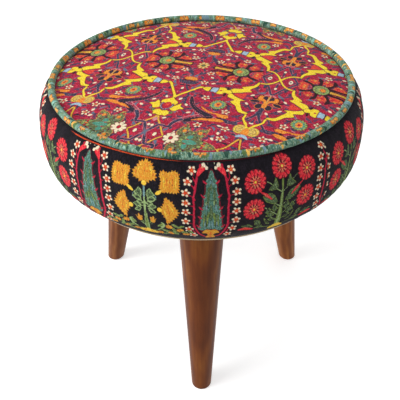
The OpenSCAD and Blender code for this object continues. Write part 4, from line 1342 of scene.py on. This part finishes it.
# Birch plywood: pale faces with a long grain and layered edges
def plywoodMaterial(name):
    material, tree, shader, place = newMaterial(name, Roughness=0.75)
    layers = Wire.node(tree, "ShaderNodeTexWave", {"bands_direction": "Z"},
                       {"Vector": place, "Scale": 0.11}, 1)
    grain = cloudy(tree, place, 3, 4, 0.6, (0.05, 1, 1))
    colour = (grain * 0.6 + layers * 0.4).rise(0.2, 0.8).over(dye(206, 172, 122), dye(160, 118, 74))
    finishMaterial(tree, shader, colour, None, grain, 0.1, 0.5)
    return material


# Open-celled foam and fluffy wadding share a soft mottled look
def softMaterial(name, shade, cell):
    material, tree, shader, place = newMaterial(name, Roughness=0.95)
    cells = Wire.node(tree, "ShaderNodeTexVoronoi", None, {"Vector": place, "Scale": 1 / cell})
    cloud = cloudy(tree, place, cell * 8, 3)
    colour = cloud.rise(0.3, 0.7).over(dye(*shade), dye(*shade, 0.9))
    colour = (cells.rise(0.4, 0.8) * 0.5).over(colour, dye(*shade, 0.75))
    finishMaterial(tree, shader, colour, None, cells, 0.5, 0.8)
    return material


# Spun-bonded dust cloth: pressed dots on a fibrous black felt
def dustMaterial(name):
    material, tree, shader, place = newMaterial(name, Roughness=0.85)
    dots = Wire.node(tree, "ShaderNodeTexVoronoi", None, {"Vector": place, "Scale": 0.7, "Randomness": 0.1})
    fibres = cloudy(tree, place, 1.2, 4, 0.7, (1, 0.3, 1))
    colour = fibres.rise(0.35, 0.7).over(dye(30, 30, 32), dye(52, 52, 55))
    colour = (1 - dots.rise(0.1, 0.35)).over(colour, dye(22, 22, 24))
    finishMaterial(tree, shader, colour, None, dots + fibres * 0.5, 0.2, 0.6)
    return material


# Twisted yarn for the cords
def cordMaterial(name, shade):
    material, tree, shader, place = newMaterial(name, Roughness=0.9)
    fibres = cloudy(tree, place, 0.5, 3, 0.7)
    colour = fibres.rise(0.3, 0.7).over(dye(*shade), dye(*shade, 0.78))
    finishMaterial(tree, shader, colour, None, fibres, 0.1, 0.6)
    return material


# The twisted cords: strands wound round a ring, made by a node tree, with their measures in millimetres
cords = {
    "trimCord": {"thick": 1.7, "pitch": 3.2, "strands": 2, "out": 0.6, "turn": 58},
    "pipingCotton": {"thick": 5, "pitch": 12, "strands": 3, "up": 0.9},
    "sides": 8, "steps": 10, "strandShare": 0.26,
}


def makeCordRing(name, radius, height, material, node):
    cord, steps, share = cords[name], cords["steps"], cords["strandShare"]
    values = {"Ring radius": radius * mm, "Cord thickness": cord["thick"] * mm,
              "Turns": round(2 * math.pi * radius / cord["pitch"]), "Strands": cord["strands"]}
    tree = bpy.data.node_groups.new(name + "Nodes", "GeometryNodeTree")
    tree.interface.new_socket("Geometry", in_out="INPUT", socket_type="NodeSocketGeometry")
    for label, value in values.items():
        kind = "NodeSocketInt" if isinstance(value, int) else "NodeSocketFloat"
        tree.interface.new_socket(label, in_out="INPUT", socket_type=kind)
    tree.interface.new_socket("Geometry", in_out="OUTPUT", socket_type="NodeSocketGeometry")
    inputs = tree.nodes.new("NodeGroupInput")
    ring, thickness, turns, count = (Wire(tree, inputs.outputs[label]) for label in values)
    index = Wire.node(tree, "GeometryNodeInputIndex")
    line = Wire.node(tree, "GeometryNodeMeshLine", {"mode": "OFFSET"}, {"Count": count, "Offset": (0, 0, 0)})
    circle = Wire.node(tree, "GeometryNodeCurvePrimitiveCircle", {"mode": "RADIUS"},
                       {"Resolution": turns * steps, "Radius": 1.0})
    copies = Wire.node(tree, "GeometryNodeInstanceOnPoints", None, {"Points": line, "Instance": circle})
    whole = Wire.node(tree, "GeometryNodeRealizeInstances", None, {"Geometry": copies})
    perStrand = turns * steps
    strand = ((index + 0.5) / perStrand).floor()
    along = (index - strand * perStrand) / perStrand * (2 * math.pi)
    twist = along * turns + strand / count * (2 * math.pi)
    reach = thickness * share
    out = ring + reach * twist.cosine()
    place = Wire.node(tree, "ShaderNodeCombineXYZ", None, {
        "X": out * along.cosine(), "Y": out * along.sine(), "Z": height * mm + reach * twist.sine()})
    wound = Wire.node(tree, "GeometryNodeSetPosition", None, {"Geometry": whole, "Position": place})
    profile = Wire.node(tree, "GeometryNodeCurvePrimitiveCircle", {"mode": "RADIUS"},
                        {"Resolution": cords["sides"], "Radius": thickness * share})
    tube = Wire.node(tree, "GeometryNodeCurveToMesh", None, {"Curve": wound, "Profile Curve": profile})
    real = Wire.node(tree, "GeometryNodeRealizeInstances", None, {"Geometry": tube})
    painted = Wire.node(tree, "GeometryNodeSetMaterial", None, {"Geometry": real, "Material": material})
    tree.links.new(painted.socket, tree.nodes.new("NodeGroupOutput").inputs[0])
    settle(bakeNodes(name, tree, values), material, node)


# Runs a node tree on an empty piece, and keeps the result as a plain mesh
def bakeNodes(name, tree, values):
    carrier = newObject(name + "Carrier", bpy.data.meshes.new(name + "Carrier"))
    modifier = carrier.modifiers.new("nodes", "NODES")
    modifier.node_group = tree
    for item in tree.interface.items_tree:
        if item.in_out == "INPUT" and item.name in values:
            modifier[item.identifier] = values[item.name]
    ready = carrier.evaluated_get(bpy.context.evaluated_depsgraph_get())
    mesh = bpy.data.meshes.new_from_object(ready)
    mesh.name = name
    bpy.data.objects.remove(carrier)
    mesh.shade_smooth()
    return newObject(name, mesh)


def dressNode(name, material):
    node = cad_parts[name]
    node.data.materials.clear()
    node.data.materials.append(material)


print("weaving the top")
makeTopPanel()
print("weaving the band")
makeSideBand()
print("covering the piping")
makePiping()
trim, trimReach = cords["trimCord"], seat["fold"] + cords["trimCord"]["out"]
trimTurn = math.radians(trim["turn"])
makeCordRing("trimCord", seatRadius - seat["tuck"] + trimReach * math.cos(trimTurn),
             tuckZ + seat["fold"] - trimReach * math.sin(trimTurn),
             cordMaterial("trimYarn", (248, 226, 188)), "bottom_trim")
makeCordRing("pipingCotton", pipeMiddle, pipeHeight + cords["pipingCotton"]["up"],
             cordMaterial("cottonYarn", (232, 226, 208)), "piping_cord")

print("finishing the wood and steel")
# One wood material per leg, the same stain with each leg's own painted light
for name, leg in legs.items():
    dressNode("leg_" + name, woodMaterial("stainedWood_" + name, leg))
for name, shade, roughness, node in (
        ("platedSteel", (176, 178, 184), 0.38, "leg_plate_"),
        ("screwSteel", (192, 192, 196), 0.3, "plate_screws_"),
        ("boltSteel", (150, 150, 156), 0.35, "leg_bolt_"),
        ("bushSteel", (190, 182, 160), 0.35, "plate_bush_")):
    steel = steelMaterial(name, shade, roughness)
    for leg in legs:
        dressNode(node + leg, steel)
stapleSteel = steelMaterial("stapleSteel", (184, 184, 190), 0.35)
dressNode("band_staples", stapleSteel)
dressNode("cover_staples", stapleSteel)
dressNode("seat_board", plywoodMaterial("birchPly"))
print("filling the seat and closing it below")
makePadding()
makeDustCover()


# The camera stands where the photograph's stood
view = {"back": 0.637, "height": 0.6818, "down": 38.02, "lens": 54.45, "shift": (-0.0038, -0.0096)}


def makeCamera():
    data = bpy.data.cameras.new("photoCamera")
    data.lens = view["lens"]
    data.sensor_width = 36
    data.shift_x, data.shift_y = view["shift"]
    camera = newObject("photoCamera", data)
    camera.location = (0, -view["back"], view["height"])
    camera.rotation_euler = (math.radians(90 - view["down"]), 0, 0)
    bpy.context.scene.camera = camera


# Round lamps, all aimed at the seat; places and sizes in metres
lights = {
    "key": {"place": (-1.5, -0.6, 1.5), "size": 1.1, "power": 20},
    "side": {"place": (-1.7, -0.2, 0.5), "size": 0.9, "power": 11},
    "front": {"place": (0.2, -1.5, 1.3), "size": 1.2, "power": 6},
    "top": {"place": (0.0, 0.5, 2.0), "size": 1.4, "power": 6},
}
aimHeight = 0.28
worldLight = 0.42


# 1 for a ray that shows the background: the camera's own, or one by way of a shiny or clear surface
def seenRays(tree):
    path = tree.nodes.new("ShaderNodeLightPath")
    camera, glossy, through = (Wire(tree, path.outputs[ray]) for ray in (
        "Is Camera Ray", "Is Glossy Ray", "Is Transmission Ray"))
    return camera.maths("MAXIMUM", camera, glossy.maths("MAXIMUM", glossy, through))


def makeLights():
    for name, lamp in lights.items():
        data = bpy.data.lights.new(name, "AREA")
        data.shape = "DISK"
        data.size = lamp["size"]
        data.energy = lamp["power"]
        light = newObject(name, data)
        x, y, z = light.location = lamp["place"]
        tilt = math.atan2(math.hypot(x, y), z - aimHeight)
        light.rotation_euler = (tilt, 0, math.atan2(-y, -x) - math.pi / 2)
    world = bpy.data.worlds.new("studio")
    bpy.context.scene.world = world
    world.use_nodes = True
    tree = world.node_tree
    tree.nodes.clear()
    lit, white = (Wire.node(tree, "ShaderNodeBackground", None, {"Color": (1, 1, 1, 1), "Strength": power})
                  for power in (worldLight, 1.0))
    mixed = Wire.node(tree, "ShaderNodeMixShader", None,
                      {"Fac": seenRays(tree), "Shader": lit, "Shader_001": white})
    tree.links.new(mixed.socket, tree.nodes.new("ShaderNodeOutputWorld").inputs["Surface"])


# A pale floor, in millimetres, that glows a little more far from the stool so that it has no horizon
floorLook = {"half": 4000, "near": 400, "far": 2400, "nearGlow": 0.5, "farGlow": 0.7,
             "shade": 0.8, "seenShade": 0.86}


def makeFloor():
    half = floorLook["half"]
    corners = np.array([(-half, -half, 0), (half, -half, 0), (half, half, 0), (-half, half, 0)])
    floor = newPiece("floor", corners, [(0, 1, 2, 3)])
    material, tree, shader, place = newMaterial("paleFloor", Roughness=0.9, Specular_IOR_Level=0.1,
                                                Emission_Strength=1.0)

    def grey(key):
        return (floorLook[key],) * 3 + (1,)

    seen = seenRays(tree)
    finishMaterial(tree, shader, seen.over(grey("shade"), grey("seenShade")))
    away = Wire.node(tree, "ShaderNodeVectorMath", {"operation": "LENGTH"}, {"Vector": place}, 1)
    white = away.rise(floorLook["near"], floorLook["far"]).over(grey("nearGlow"), grey("farGlow"))
    tree.links.new(seen.over((0, 0, 0, 1), white).socket, shader.inputs["Emission Color"])
    floor.data.materials.append(material)


print("setting the camera and lights")
makeCamera()
makeLights()
makeFloor()
bpy.context.scene.view_settings.view_transform = "Standard"
print("done")
